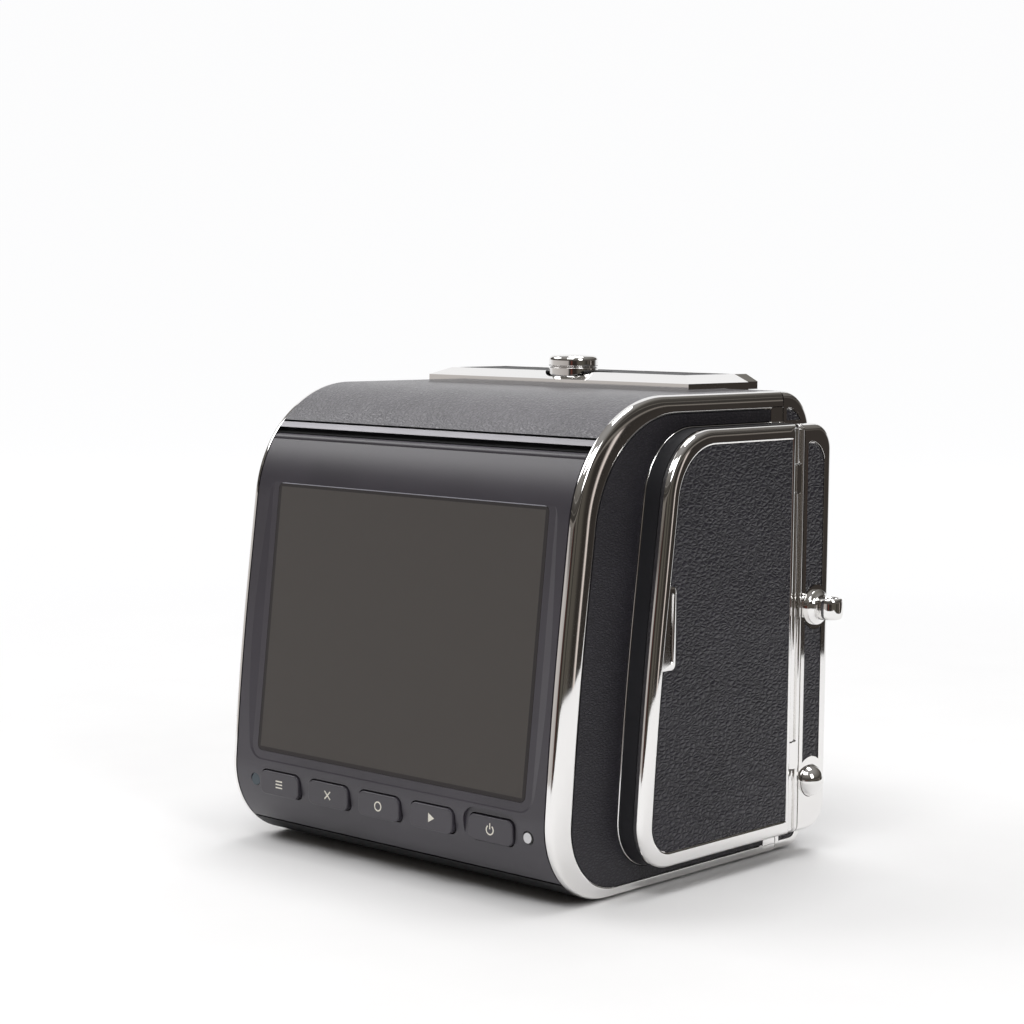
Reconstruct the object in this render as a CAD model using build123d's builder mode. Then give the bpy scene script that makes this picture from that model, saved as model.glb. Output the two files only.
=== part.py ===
from build123d import *
import os
from math import atan, cos, degrees, radians, sin, tan

# A medium format digital camera: a digital back with a tilting rear screen,
# joined to a thin camera body that carries the lens mount.
# Millimetres. X is the user's right, Y points along the lens axis, Z is up.
# The origin is at the middle of the camera's box, on the surface it stands on.

# Overall sizes
above_axis = 42.7
base_z = 0.5
side_room = 18.6
frame_t = 1.6
pod_rise = 5.0
lug_reach = 5.5
back_depth = 63.0
plate_depth = 9.0
parting_gap = 0.12
key_rise = 0.45
overrun = 5.0
fit_gap = 0.05
lay_gap = 0.1
run_gap = 0.3

# Rear outline, seen from the side: a foot corner, a slight knee and a brow
low_lean_deg = 4.0
high_lean_deg = 7.4
knee_z = 33.7
foot_r = 14.5
knee_r = 560.0
brow_r = 23.7

# Chrome side frames and their leather
rim_r = 1.4
recess_t = 0.55
leather_t = 0.45
leather_rear = 5.2
leather_low = 1.8
leather_high = 3.2
leather_foot_r = 11.7
leather_brow_r = 21.4
leather_front_back = 3.6
corner_r = 0.8

# Raised door box on each side
pod_rear = 17.4
pod_low = 4.3
pod_high = 5.8
pod_foot_r = 8.4
pod_brow_r = 12.8
pod_bead = 0.3
pod_wall_t = 1.6
door_t = 1.7
door_gap = 0.2
door_rim_r = 1.4
door_leather_rear = 3.2
door_leather_low = 2.8
door_leather_high = 2.7
door_leather_foot_r = 5.0
door_leather_brow_r = 10.2
barrel_r = 1.05
barrel_back = 2.2
barrel_groove = 0.2
door_pin_r = 0.45
door_swing_gap = 0.15
knuckle_low_z = 17.0
knuckle_drop = 18.2
knuckle_len = 5.0
notch_z = 46.6
notch_len = 14.4
notch_deep = 2.5
notch_r = 1.0
slot_len = 12.0
slot_wide = 0.8
slot_deep = 1.0
slot_in = 1.35

# Casing of the back
casing_wall = 2.0
casing_floor = 3.0
casing_roof = 3.2
cavity_rear = 8.8
cavity_foot_r = 5.0
cavity_brow_r = 14.0
front_plate_t = 2.0
window_rear = 3.4
window_front = 4.4
window_end = 4.0
window_r = 4.0

# Curved leather top and the strip over the screen hinge
top_leather_t = 0.65
top_leather_drop = 6.8
strip_t = 1.0
strip_gap = 0.35
strip_h = 0.95

# Deck plate and release knob
plate_in = 6.4
plate_rear_back = 18.0
plate_wall = 1.4
plate_rise = 2.8
plate_bevel = 3.2
deck_cover_t = 0.5
deck_cover_in = 0.9
knob_back = 12.0
knob_r = 4.7
knob_lift = 1.65
knob_h = 4.65
knob_travel = 3.0
knob_stem_r = 1.5
knob_pocket_gap = 0.6
knob_groove = 0.35
knob_edge = 1.4
knob_step_share = 0.56
knob_foot_w = 6.0
knob_foot_t = 1.5

# Screen panel
panel_side_gap = 0.3
panel_low_z = 4.5
panel_foot_t = 1.6
hinge_drop = 9.7
hinge_r = 1.0
hinge_back = 2.15
hinge_gap = 0.35
hinge_pin_r = 0.5
hinge_pin_in = 4.0
glass_low_z = 18.3
glass_drop = 18.1
glass_margin = 5.0
glass_x = 0.4
glass_sink = 0.15
glass_t = 1.1
glass_r = 1.2
window_margin = 1.0
surround = 1.5
surround_deep = 1.0
surround_slope_deg = 74.0
ledge_t = 0.6
display_t = 2.6
display_margin = 1.4
cavity_margin = 2.4
cover_t = 1.0
hood_low_z = 7.2
key_space_low_z = 9.4
key_space_high_z = 16.0

# Keys under the screen, a light sensor and a lamp
key_z = 12.6
key_w = 10.3
key_h = 4.4
key_r = 1.3
key_gap = 0.25
key_t = 2.1
key_flange = 0.6
key_flange_t = 0.5
key_travel = 0.4
key_x = [-26.4, -13.35, -0.3, 12.75, 26.4]
key_names = ["menu_key", "cancel_key", "select_key", "playback_key", "power_key"]
power_dish = 0.9
power_dish_deep = 0.55
key_wall = 1.7
board_t = 1.0
sensor_eye_x = -33.6
lamp_x = 35.0
lamp_r = 1.15
lamp_edge_r = 0.3

# Base plate and tripod socket
base_plate_t = 1.5
base_in = 1.4
base_rear_in = 16.0
base_corner_r = 3.0
bush_r = 6.5
bush_len = 7.5
thread_r = 3.175
thread_len = 6.5
bush_y = 2.0

# Battery, its bay, cards, sockets and boards
battery_x = 34.0
battery_y = 24.0
battery_z = 46.0
battery_low_z = 12.4
battery_mouth = 1.9
battery_edge_r = 2.0
bay_wall = 1.0
bay_leg = 6.0
card_len = 32.0
card_wide = 24.0
card_t = 2.1
card_pitch = 5.0
card_mouth = 0.6
card_show = 4.0
card_low_z = 47.0
card_corner = 2.5
reader_wall = 1.4
socket_block_x = 13.0
socket_block_z = 30.0
socket_low_z = 11.0
unit_t = 12.0
jack_r = 1.8
port_w = 8.9
port_h = 3.2
port_deep = 6.0
pcb_t = 1.6
main_board_in = 4.4
main_board_low_z = 8.5
main_board_drop = 8.2
standoff = 2.0
standoff_r = 2.5
standoff_x = 26.0
standoff_z = 20.0
chip_t = 1.4
chip_w = 14.0

# Image sensor stack
axis_z = 43.5
flange_focal = 18.14
sensor_ahead = 1.41
sensor_w = 43.8
sensor_h = 32.9
package_margin = 3.2
package_t = 2.2
sensor_lip = 1.3
sensor_frame_wall = 4.0
sensor_frame_t = 7.0
sensor_flange = 2.0
sensor_flange_t = 1.5
mask_margin = 0.6
filter_margin = 1.7
filter_t = 0.8
spreader_t = 3.0

# Thin body
body_foot_r = 3.5
body_brow_r = 8.0
body_pod_r = 5.0
body_leather_rear = 1.0
body_leather_front = 2.7
body_leather_end = 3.4
body_bore_r = 31.0
front_leather_t = 0.6
front_leather_in = 0.7
front_leather_end = 4.5
front_leather_r = 6.0

# Lens mount
boss_r = 37.5
boss_wall = 1.2
boss_face_r = 35.2
boss_step = 0.5
ring_r = 34.2
throat_r = 30.5
ring_t = 2.4
flange_back = 1.0
slot_r = 31.7
slot_deg = 34.0
slot_count = 3
mount_screw_r = 1.1
mount_screw_len = 5.0
mount_screw_ring_r = 32.9
mount_screw_count = 4
mount_screw_deg = 45.0
screw_slot_deep = 0.4
screw_slot_w = 0.3
lock_pin_r = 1.0
lock_pin_deg = -20.0
lock_pin_ring_r = 32.4
lock_pin_travel = 1.0
lock_pin_len = 9.0
lock_pin_edge_r = 0.35
contact_count = 8
contact_pitch = 3.2
contact_r = 0.6
contact_rise = 0.4
contact_block_t = 3.0
contact_block_deep = 2.4
contact_sink = 1.0

# Lens release, strap lugs, shutter button and its wheel
release_forward = 3.8
release_z = 14.1
release_r = 3.0
release_rise = 2.4
release_bow_deg = 30.0
release_travel = 1.2
release_stem_r = 1.5
release_stem_len = 4.2
release_ring = 1.5
lug_forward = 4.5
lug_z = 46.5
lug_base_r = 3.3
lug_base_rise = 1.3
lug_clear = 0.8
lug_ring_r = 2.65
lug_hole_r = 1.5
lug_ring_t = 3.9
lug_neck_r = 1.7
lug_edge_r = 0.5
shutter_x = 33.5
shutter_z = 12.5
wheel_r = 5.6
wheel_t = 3.6
wheel_bore_r = 3.4
wheel_teeth = 30
wheel_tooth_r = 0.3
shutter_r = 3.0
shutter_edge_r = 0.4
shutter_rise = 5.2
shutter_travel = 0.9
shutter_hub_r = 3.35
shutter_hub_rise = 0.9
shutter_stem_r = 1.4
shutter_stem_len = 4.0

# Places worked out from the sizes above
half_w = sensor_w / 2 + side_room
deck_z = axis_z + above_axis
trim_half_w = half_w - frame_t
panel_half_w = trim_half_w - panel_side_gap
glass_w = 2 * (panel_half_w - glass_margin)
glass_high_z = deck_z - glass_drop
main_board_half_w = trim_half_w - main_board_in
main_board_high_z = deck_z - main_board_drop
base_half_w = trim_half_w - base_in
plate_half_w = trim_half_w - plate_in
knuckle_high_z = deck_z - knuckle_drop
top_leather_z = deck_z - top_leather_drop
strip_high_z = top_leather_z - strip_gap
strip_low_z = strip_high_z - strip_h
hinge_outer_z = deck_z - hinge_drop
knob_base_z = deck_z + knob_lift
knob_top_z = knob_base_z + knob_h
package_w = sensor_w + 2 * package_margin
package_h = sensor_h + 2 * package_margin
sensor_frame_w = package_w + 2 * sensor_frame_wall
sensor_frame_h = package_h + 2 * sensor_frame_wall
pod_half_w = half_w + pod_rise
lug_half_w = pod_half_w + lug_reach
depth = key_rise + back_depth + sensor_ahead + flange_focal + flange_back
rear_y = -depth / 2 + key_rise
front_y = depth / 2
parting_y = rear_y + back_depth
body_rear_y = parting_y + parting_gap
plate_front_y = parting_y + plate_depth
low_slope = tan(radians(low_lean_deg))
high_slope = tan(radians(high_lean_deg))
foot_y = rear_y + foot_r - foot_r / tan(radians(90 - low_lean_deg) / 2)
knee_y = foot_y + (knee_z - base_z) * low_slope


def rear_line_y(height):
    """Place of the two straight stretches of the rear outline at a height."""
    slope = low_slope if height < knee_z else high_slope
    return knee_y + (height - knee_z) * slope


def outline_face(rear, low, high, front, foot_radius, brow_radius, mode=Mode.ADD):
    """Side outline, drawn inwards by an amount at its rear, its foot and its top."""
    low_z = base_z + low
    high_z = deck_z - high
    points = [
        (front, low_z),
        (rear_line_y(low_z) + rear, low_z),
        (knee_y + rear, knee_z),
        (rear_line_y(high_z) + rear, high_z),
        (front, high_z),
    ]
    with BuildLine() as outline:
        FilletPolyline(*points, radius=[foot_radius, knee_r, brow_radius])
        Line(points[-1], points[0])
    make_face(outline.edges(), mode=mode)


def pod_face(inset, front, mode=Mode.ADD):
    """Outline of the raised door box, drawn inwards by an amount."""
    low = pod_low + inset
    high = pod_high + inset
    outline_face(pod_rear + inset, low, high, front, pod_foot_r - inset, pod_brow_r - inset, mode)


def brow_band(thickness, low_z, high_z, front):
    """Skin of a given thickness over the brow, between two heights."""
    outline_face(0, 0, 0, front, foot_r, brow_r)
    outline_face(thickness, 0, thickness, front, foot_r, brow_r - thickness, Mode.SUBTRACT)
    with Locations((0, low_z)):
        band = high_z - low_z
        Rectangle(2 * depth, band, align=(Align.CENTER, Align.MIN), mode=Mode.INTERSECT)


def side_rim(part, outer_x, front):
    """Edges round a side piece's outer face, without the one at its front."""
    outer = part.edges().filter_by_position(Axis.X, outer_x - fit_gap, outer_x + fit_gap)
    return outer.filter_by(lambda edge: edge.center().Y < front - fit_gap)


def save(piece, name):
    """Name a finished piece and write it."""
    piece.part.label = name
    export_step(piece.part, f"parts/{name}.step")


os.makedirs("parts", exist_ok=True)
leather_front_y = parting_y - leather_front_back
barrel_y = parting_y - barrel_back
barrel_x = pod_half_w - barrel_r
post_y = barrel_y + barrel_r + door_swing_gap
pod_low_z = base_z + pod_low
pod_high_z = deck_z - pod_high
door_in_x = pod_half_w - door_t

# Chrome side frames: a plate with a rounded rim, a recess for the leather,
# a window into the door bay, and the post that carries the door's hinge.
knuckle_z = [knuckle_low_z, knuckle_high_z]
with BuildPart() as right_side_frame:
    with BuildSketch(Plane.YZ.offset(trim_half_w)):
        outline_face(0, 0, 0, parting_y, foot_r, brow_r)
    extrude(amount=half_w - trim_half_w)
    fillet(side_rim(right_side_frame, half_w, parting_y), rim_r)
    with BuildSketch(Plane.YZ.offset(half_w)):
        outline_face(leather_rear, leather_low, leather_high, leather_front_y, leather_foot_r, leather_brow_r)
        pod_face(-pod_bead, parting_y + overrun, Mode.SUBTRACT)
    extrude(amount=-recess_t, mode=Mode.SUBTRACT)
    with BuildSketch(Plane.YZ.offset(half_w)):
        pod_face(0, parting_y)
        with Locations(((post_y + rear_y) / 2, deck_z / 2)):
            Rectangle(post_y - rear_y, deck_z + overrun, mode=Mode.SUBTRACT)
    extrude(amount=pod_half_w - half_w)
    post_ends = right_side_frame.edges().filter_by(Axis.Y).filter_by_position(
        Axis.X, pod_half_w - fit_gap, pod_half_w + fit_gap
    )
    fillet(post_ends, door_rim_r)
    for height in knuckle_z:
        with Locations((barrel_x, barrel_y, height)):
            Cylinder(barrel_r, knuckle_len, align=(Align.CENTER, Align.CENTER, Align.MIN))
        with Locations((barrel_x, barrel_y, height)):
            Box(barrel_r, post_y - barrel_y, knuckle_len, align=(Align.MIN, Align.MIN, Align.MIN))
    with Locations((barrel_x, barrel_y, 0)):
        Cylinder(door_pin_r, deck_z, align=(Align.CENTER, Align.CENTER, Align.MIN), mode=Mode.SUBTRACT)
    with BuildSketch(Plane.YZ.offset(trim_half_w - overrun)):
        pod_face(pod_wall_t + lay_gap, leather_front_y - window_front)
    extrude(amount=half_w - trim_half_w + overrun + lay_gap, mode=Mode.SUBTRACT)
with BuildPart() as left_side_frame:
    mirror(right_side_frame.part, about=Plane.YZ)

# Side leathers, laid in the frames' recesses round the door boxes
with BuildPart() as right_side_leather:
    with BuildSketch(Plane.YZ.offset(half_w - recess_t)):
        outline_face(
            leather_rear + lay_gap,
            leather_low + lay_gap,
            leather_high + lay_gap,
            leather_front_y - lay_gap,
            leather_foot_r - lay_gap,
            leather_brow_r - lay_gap,
        )
        pod_face(-pod_bead - lay_gap, parting_y + overrun, Mode.SUBTRACT)
    extrude(amount=leather_t)
with BuildPart() as left_side_leather:
    mirror(right_side_leather.part, about=Plane.YZ)

# Walls of the door boxes
with BuildPart() as right_pod_wall:
    with BuildSketch(Plane.YZ.offset(half_w)):
        pod_face(0, post_y)
        pod_face(pod_wall_t, leather_front_y - window_front, Mode.SUBTRACT)
    extrude(amount=door_in_x - door_gap - half_w)
    with Locations((barrel_x, barrel_y, 0)):
        groove_r = barrel_r + barrel_groove
        Cylinder(groove_r, deck_z, align=(Align.CENTER, Align.CENTER, Align.MIN), mode=Mode.SUBTRACT)
with BuildPart() as left_pod_wall:
    mirror(right_pod_wall.part, about=Plane.YZ)

# Side doors: a chrome plate with a rounded rim, a recess for its leather,
# a finger notch with a groove at its rear edge, and a hinge barrel at its front.
notch_y = rear_line_y(notch_z) + pod_rear + door_leather_rear
with BuildPart() as right_door:
    with BuildSketch(Plane.YZ.offset(door_in_x)):
        pod_face(0, barrel_y)
    extrude(amount=door_t)
    fillet(side_rim(right_door, pod_half_w, barrel_y), door_rim_r)
    barrel_end = door_rim_r / 2
    with Locations((barrel_x, barrel_y, pod_low_z + barrel_end)):
        barrel_len = pod_high_z - pod_low_z - 2 * barrel_end
        Cylinder(barrel_r, barrel_len, align=(Align.CENTER, Align.CENTER, Align.MIN))
    with BuildSketch(Plane.YZ.offset(pod_half_w)):
        outline_face(
            pod_rear + door_leather_rear,
            pod_low + door_leather_low,
            pod_high + door_leather_high,
            leather_front_y,
            door_leather_foot_r,
            door_leather_brow_r,
        )
        with Locations((notch_y, notch_z)):
            RectangleRounded(2 * notch_deep, notch_len, notch_r, mode=Mode.SUBTRACT)
    extrude(amount=-recess_t, mode=Mode.SUBTRACT)
    with BuildSketch(Plane.YZ.offset(pod_half_w)):
        with Locations((notch_y + slot_in, notch_z)):
            SlotOverall(slot_len, slot_wide, rotation=90)
    extrude(amount=-slot_deep, mode=Mode.SUBTRACT)
    for height in knuckle_z:
        with Locations((barrel_x, barrel_y, height - door_swing_gap)):
            gap_len = knuckle_len + 2 * door_swing_gap
            gap_r = barrel_r + door_swing_gap
            Cylinder(gap_r, gap_len, align=(Align.CENTER, Align.CENTER, Align.MIN), mode=Mode.SUBTRACT)
            gap_align = (Align.CENTER, Align.MAX, Align.MIN)
            Box(2 * gap_r, gap_r, gap_len, align=gap_align, mode=Mode.SUBTRACT)
    with Locations((barrel_x, barrel_y, 0)):
        bore_r = door_pin_r + fit_gap
        Cylinder(bore_r, deck_z, align=(Align.CENTER, Align.CENTER, Align.MIN), mode=Mode.SUBTRACT)
with BuildPart() as left_door:
    mirror(right_door.part, about=Plane.YZ)

# Leather on the doors
with BuildPart() as right_door_leather:
    with BuildSketch(Plane.YZ.offset(pod_half_w - recess_t)):
        outline_face(
            pod_rear + door_leather_rear + lay_gap,
            pod_low + door_leather_low + lay_gap,
            pod_high + door_leather_high + lay_gap,
            leather_front_y - lay_gap,
            door_leather_foot_r - lay_gap,
            door_leather_brow_r - lay_gap,
        )
        with Locations((notch_y, notch_z)):
            notch_w = 2 * (notch_deep + lay_gap)
            RectangleRounded(notch_w, notch_len + 2 * lay_gap, notch_r, mode=Mode.SUBTRACT)
    extrude(amount=leather_t)
with BuildPart() as left_door_leather:
    mirror(right_door_leather.part, about=Plane.YZ)

# Hinge pins of the doors, fixed in the frames' knuckles
with BuildPart() as door_pins:
    for side in (1, -1):
        with Locations((side * barrel_x, barrel_y, pod_low_z + pod_wall_t)):
            pin_len = pod_high_z - pod_low_z - 2 * pod_wall_t
            Cylinder(door_pin_r, pin_len, align=(Align.CENTER, Align.CENTER, Align.MIN))

# Screen panel outline: its hinge axis lies inside the brow's arc
brow_y = rear_line_y(deck_z)
arc_y = brow_y + brow_r / cos(radians(high_lean_deg)) - brow_r * high_slope
arc_z = deck_z - brow_r
hinge_offset = brow_r - hinge_r
hinge_rise = (hinge_outer_z - arc_z) * hinge_offset / brow_r
hinge_z = arc_z + hinge_rise
hinge_y = arc_y - (hinge_offset**2 - hinge_rise**2) ** 0.5
foot_drop = foot_r - (panel_low_z - base_z)
panel_foot_y = rear_y + foot_r - (foot_r**2 - foot_drop**2) ** 0.5 + panel_foot_t


def panel_section(gap, mode=Mode.ADD):
    """Section of the screen panel, or with a gap the space that it lies in."""
    outside_y = rear_y - overrun
    points = [
        (outside_y, panel_low_z - gap),
        (panel_foot_y + gap, panel_low_z - gap),
        (hinge_y + hinge_back + gap, hinge_z),
        (outside_y, hinge_z),
    ]
    with BuildLine() as section:
        Polyline(*points, close=True)
    make_face(section.edges(), mode=mode)
    with Locations((hinge_y, hinge_z)):
        Circle(hinge_r + gap)


glass_low_y = rear_line_y(glass_low_z) + glass_sink
glass_high_y = rear_line_y(glass_high_z) + glass_sink
glass_lean = atan((glass_high_y - glass_low_y) / (glass_high_z - glass_low_z))
glass_h = (glass_high_z - glass_low_z) / cos(glass_lean)
glass_plane = Plane(
    origin=(glass_x, (glass_low_y + glass_high_y) / 2, (glass_low_z + glass_high_z) / 2),
    x_dir=(1, 0, 0),
    z_dir=(0, -cos(glass_lean), sin(glass_lean)),
)
key_front_y = rear_y
key_back_y = key_front_y + key_wall
ledge_depth = glass_t + ledge_t

# Bezel of the screen panel: the glass pocket, the window, the key holes,
# the hollow behind them and the round hinge edge along its top.
cover_half_w = panel_half_w - cavity_margin
cover_low_z = hood_low_z
cover_high_z = glass_high_z + cavity_margin
with BuildPart() as screen_bezel:
    with BuildSketch(Plane.YZ):
        outline_face(0, 0, 0, parting_y, foot_r, brow_r)
        panel_section(0, Mode.INTERSECT)
    extrude(amount=panel_half_w, both=True)
    with BuildSketch(glass_plane):
        RectangleRounded(glass_w + 2 * fit_gap, glass_h + 2 * fit_gap, glass_r)
    extrude(amount=-glass_t, mode=Mode.SUBTRACT)
    with BuildSketch(glass_plane):
        RectangleRounded(glass_w + 2 * surround, glass_h + 2 * surround, glass_r + surround)
    extrude(amount=surround_deep, taper=-surround_slope_deg, mode=Mode.SUBTRACT)
    with BuildSketch(glass_plane):
        RectangleRounded(glass_w - 2 * window_margin, glass_h - 2 * window_margin, glass_r)
    extrude(amount=-ledge_depth - overrun, mode=Mode.SUBTRACT)
    with BuildSketch(glass_plane.offset(-ledge_depth)):
        Rectangle(glass_w + 2 * display_margin, glass_h + 2 * display_margin)
    extrude(amount=-overrun - overrun, mode=Mode.SUBTRACT)
    with BuildSketch(Plane.XZ.offset(-key_back_y)):
        with Locations((0, (key_space_low_z + key_space_high_z) / 2)):
            Rectangle(2 * cover_half_w, key_space_high_z - key_space_low_z)
    extrude(amount=-overrun - overrun, mode=Mode.SUBTRACT)
    with BuildSketch(Plane.XZ.offset(-rear_y + overrun)):
        for place in key_x:
            with Locations((place, key_z)):
                RectangleRounded(key_w + 2 * key_gap, key_h + 2 * key_gap, key_r + key_gap)
    extrude(amount=-overrun - overrun, mode=Mode.SUBTRACT)
    with BuildSketch(Plane.XZ.offset(-rear_y - power_dish_deep)):
        with Locations((key_x[-1], key_z)):
            dish = 2 * (key_gap + power_dish)
            RectangleRounded(key_w + dish, key_h + dish, key_r + key_gap + power_dish)
    extrude(amount=overrun, mode=Mode.SUBTRACT)
    with Locations(Plane.XZ.offset(-rear_y)):
        for place in (sensor_eye_x, lamp_x):
            with Locations((place, key_z)):
                Cylinder(lamp_r + fit_gap, overrun, mode=Mode.SUBTRACT)
    pin_in_x = panel_half_w - hinge_pin_in
    with Locations(Plane.YZ):
        for side in (1, -1):
            with Locations((hinge_y, hinge_z, side * panel_half_w)):
                Cylinder(hinge_pin_r + fit_gap, 2 * (hinge_pin_in + fit_gap), mode=Mode.SUBTRACT)

# Back cover of the screen panel, let into the hollow
inner_slope = (hinge_y + hinge_back - panel_foot_y) / (hinge_z - panel_low_z)


def panel_inner_y(height):
    """Place of the panel's inner face at a height."""
    return panel_foot_y + (height - panel_low_z) * inner_slope


cover_points = [
    (panel_inner_y(cover_low_z), cover_low_z),
    (panel_inner_y(cover_high_z), cover_high_z),
    (panel_inner_y(cover_high_z) - cover_t, cover_high_z),
    (panel_inner_y(cover_low_z) - cover_t, cover_low_z),
]
with BuildPart() as screen_back_cover:
    with BuildSketch(Plane.YZ):
        with BuildLine():
            Polyline(*cover_points, close=True)
        make_face()
    extrude(amount=cover_half_w, both=True)
with BuildPart(mode=Mode.PRIVATE) as cover_pocket:
    with BuildSketch(Plane.YZ):
        with BuildLine():
            Polyline(*cover_points, close=True)
        make_face()
        offset(amount=fit_gap, kind=Kind.INTERSECTION)
    extrude(amount=cover_half_w + fit_gap, both=True)
with screen_bezel:
    add(cover_pocket.part, mode=Mode.SUBTRACT)

# Glass and display
with BuildPart() as screen_glass:
    with BuildSketch(glass_plane.offset(-glass_t)):
        RectangleRounded(glass_w, glass_h, glass_r)
    extrude(amount=glass_t)
with BuildPart() as display_module:
    with BuildSketch(glass_plane.offset(-ledge_depth)):
        Rectangle(glass_w + 2 * (display_margin - lay_gap), glass_h + 2 * (display_margin - lay_gap))
    extrude(amount=-display_t)
    with BuildSketch(glass_plane.offset(-ledge_depth)):
        lit_gap = 2 * (window_margin + lay_gap)
        RectangleRounded(glass_w - lit_gap, glass_h - lit_gap, glass_r)
    extrude(amount=ledge_t - lay_gap)

# Keys with their retaining flanges, the switch board, the light sensor and the lamp
keys = []
for number, place in enumerate(key_x):
    is_power = number == len(key_x) - 1
    top_y = key_front_y if is_power else key_front_y - key_rise
    with BuildPart() as key:
        with BuildSketch(Plane.XZ.offset(-key_back_y - fit_gap)):
            with Locations((place, key_z)):
                RectangleRounded(key_w, key_h, key_r)
        extrude(amount=key_back_y + fit_gap - top_y)
        cap = key.faces().sort_by(Axis.Y)[0]
        fillet(cap.edges(), key_rise / 2)
        with BuildSketch(Plane.XZ.offset(-key_back_y - fit_gap)):
            with Locations((place, key_z)):
                flange = 2 * key_flange
                RectangleRounded(key_w + flange, key_h + flange, key_r)
        extrude(amount=-key_flange_t)
    keys.append(key)
board_y = key_back_y + fit_gap + key_flange_t + key_travel + lay_gap
with BuildPart() as key_board:
    with BuildSketch(Plane.XZ.offset(-board_y)):
        with Locations((0, (key_space_low_z + key_space_high_z) / 2)):
            board_h = key_space_high_z - key_space_low_z - 2 * lay_gap
            Rectangle(2 * (cover_half_w - lay_gap), board_h)
    extrude(amount=-board_t)
with BuildPart() as light_sensor:
    with Locations(Plane.XZ.offset(-key_back_y)):
        with Locations((sensor_eye_x, key_z)):
            Cylinder(lamp_r, key_wall - run_gap, align=(Align.CENTER, Align.CENTER, Align.MIN))
with BuildPart() as status_lamp:
    with Locations(Plane.XZ.offset(-key_back_y)):
        with Locations((lamp_x, key_z)):
            Cylinder(lamp_r, key_wall, align=(Align.CENTER, Align.CENTER, Align.MIN))
    fillet(status_lamp.faces().sort_by(Axis.Y)[0].edges(), lamp_edge_r)

# Pins of the screen hinge, standing in from the side frames
with BuildPart() as screen_hinge_pins:
    for side in (1, -1):
        pin_mid_x = side * (trim_half_w + pin_in_x) / 2
        with Locations(Plane.YZ):
            with Locations((hinge_y, hinge_z, pin_mid_x)):
                Cylinder(hinge_pin_r, trim_half_w - pin_in_x)

# Casing of the back: a hollow casting between the side frames, with the space for
# the screen panel, the recess for the top leather and the windows to the door bays.
casing_front_y = parting_y - front_plate_t
base_rear_y = rear_y + base_rear_in
base_front_y = parting_y
base_mid_y = (base_rear_y + base_front_y) / 2
base_long = base_front_y - base_rear_y
plate_rear_y = parting_y - plate_rear_back
plate_mid_y = (plate_rear_y + parting_y) / 2
knob_y = parting_y - knob_back
leather_floor_z = deck_z - top_leather_t
with BuildPart() as back_casing:
    with BuildSketch(Plane.YZ):
        outline_face(0, 0, 0, casing_front_y, foot_r, brow_r)
    extrude(amount=trim_half_w, both=True)
    with BuildSketch(Plane.YZ):
        outline_face(cavity_rear, casing_floor, casing_roof, casing_front_y, cavity_foot_r, cavity_brow_r)
    extrude(amount=trim_half_w - casing_wall, both=True, mode=Mode.SUBTRACT)
    with BuildSketch(Plane.YZ):
        panel_section(hinge_gap)
    extrude(amount=trim_half_w, both=True, mode=Mode.SUBTRACT)
    with BuildSketch(Plane.YZ):
        brow_band(top_leather_t, top_leather_z - lay_gap, deck_z + overrun, casing_front_y + overrun)
    extrude(amount=trim_half_w, both=True, mode=Mode.SUBTRACT)
    with BuildSketch(Plane.YZ):
        brow_band(strip_t, hinge_z, top_leather_z, casing_front_y)
    extrude(amount=trim_half_w, both=True, mode=Mode.SUBTRACT)
    with BuildSketch(Plane.XY):
        with Locations((0, base_mid_y)):
            Rectangle(2 * base_half_w, base_long + overrun)
    extrude(amount=base_plate_t, mode=Mode.SUBTRACT)
    with Locations((0, bush_y, 0)):
        Cylinder(bush_r, bush_len, align=(Align.CENTER, Align.CENTER, Align.MIN), mode=Mode.SUBTRACT)
    with BuildSketch(Plane.XY.offset(deck_z - casing_roof - overrun)):
        with Locations((knob_travel / 2, knob_y)):
            SlotCenterToCenter(knob_travel, 2 * (knob_stem_r + run_gap))
    extrude(amount=casing_roof + 2 * overrun, mode=Mode.SUBTRACT)
    with BuildSketch(Plane.YZ):
        pod_face(window_rear, leather_front_y - window_front)
    extrude(amount=trim_half_w + overrun, both=True, mode=Mode.SUBTRACT)

# Front plate of the back, with the window that the sensor stack stands through
with BuildPart() as front_plate:
    with BuildSketch(Plane.XZ.offset(-casing_front_y)):
        with Locations((0, (base_plate_t + leather_floor_z) / 2)):
            Rectangle(2 * trim_half_w, leather_floor_z - base_plate_t)
        with Locations((0, axis_z)):
            Rectangle(sensor_frame_w, sensor_frame_h, mode=Mode.SUBTRACT)
    extrude(amount=-front_plate_t)

# Curved leather over the top and the strip below it
with BuildPart() as top_leather:
    with BuildSketch(Plane.YZ):
        brow_band(top_leather_t, top_leather_z, deck_z + overrun, parting_y)
    extrude(amount=trim_half_w, both=True)
    with BuildSketch(Plane.XY.offset(leather_floor_z - overrun)):
        with Locations((0, plate_mid_y)):
            Rectangle(2 * plate_half_w, plate_rear_back)
    extrude(amount=2 * overrun, mode=Mode.SUBTRACT)
with BuildPart() as hinge_strip:
    with BuildSketch(Plane.YZ):
        brow_band(strip_t, strip_low_z, strip_high_z, parting_y)
    extrude(amount=trim_half_w, both=True)

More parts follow.
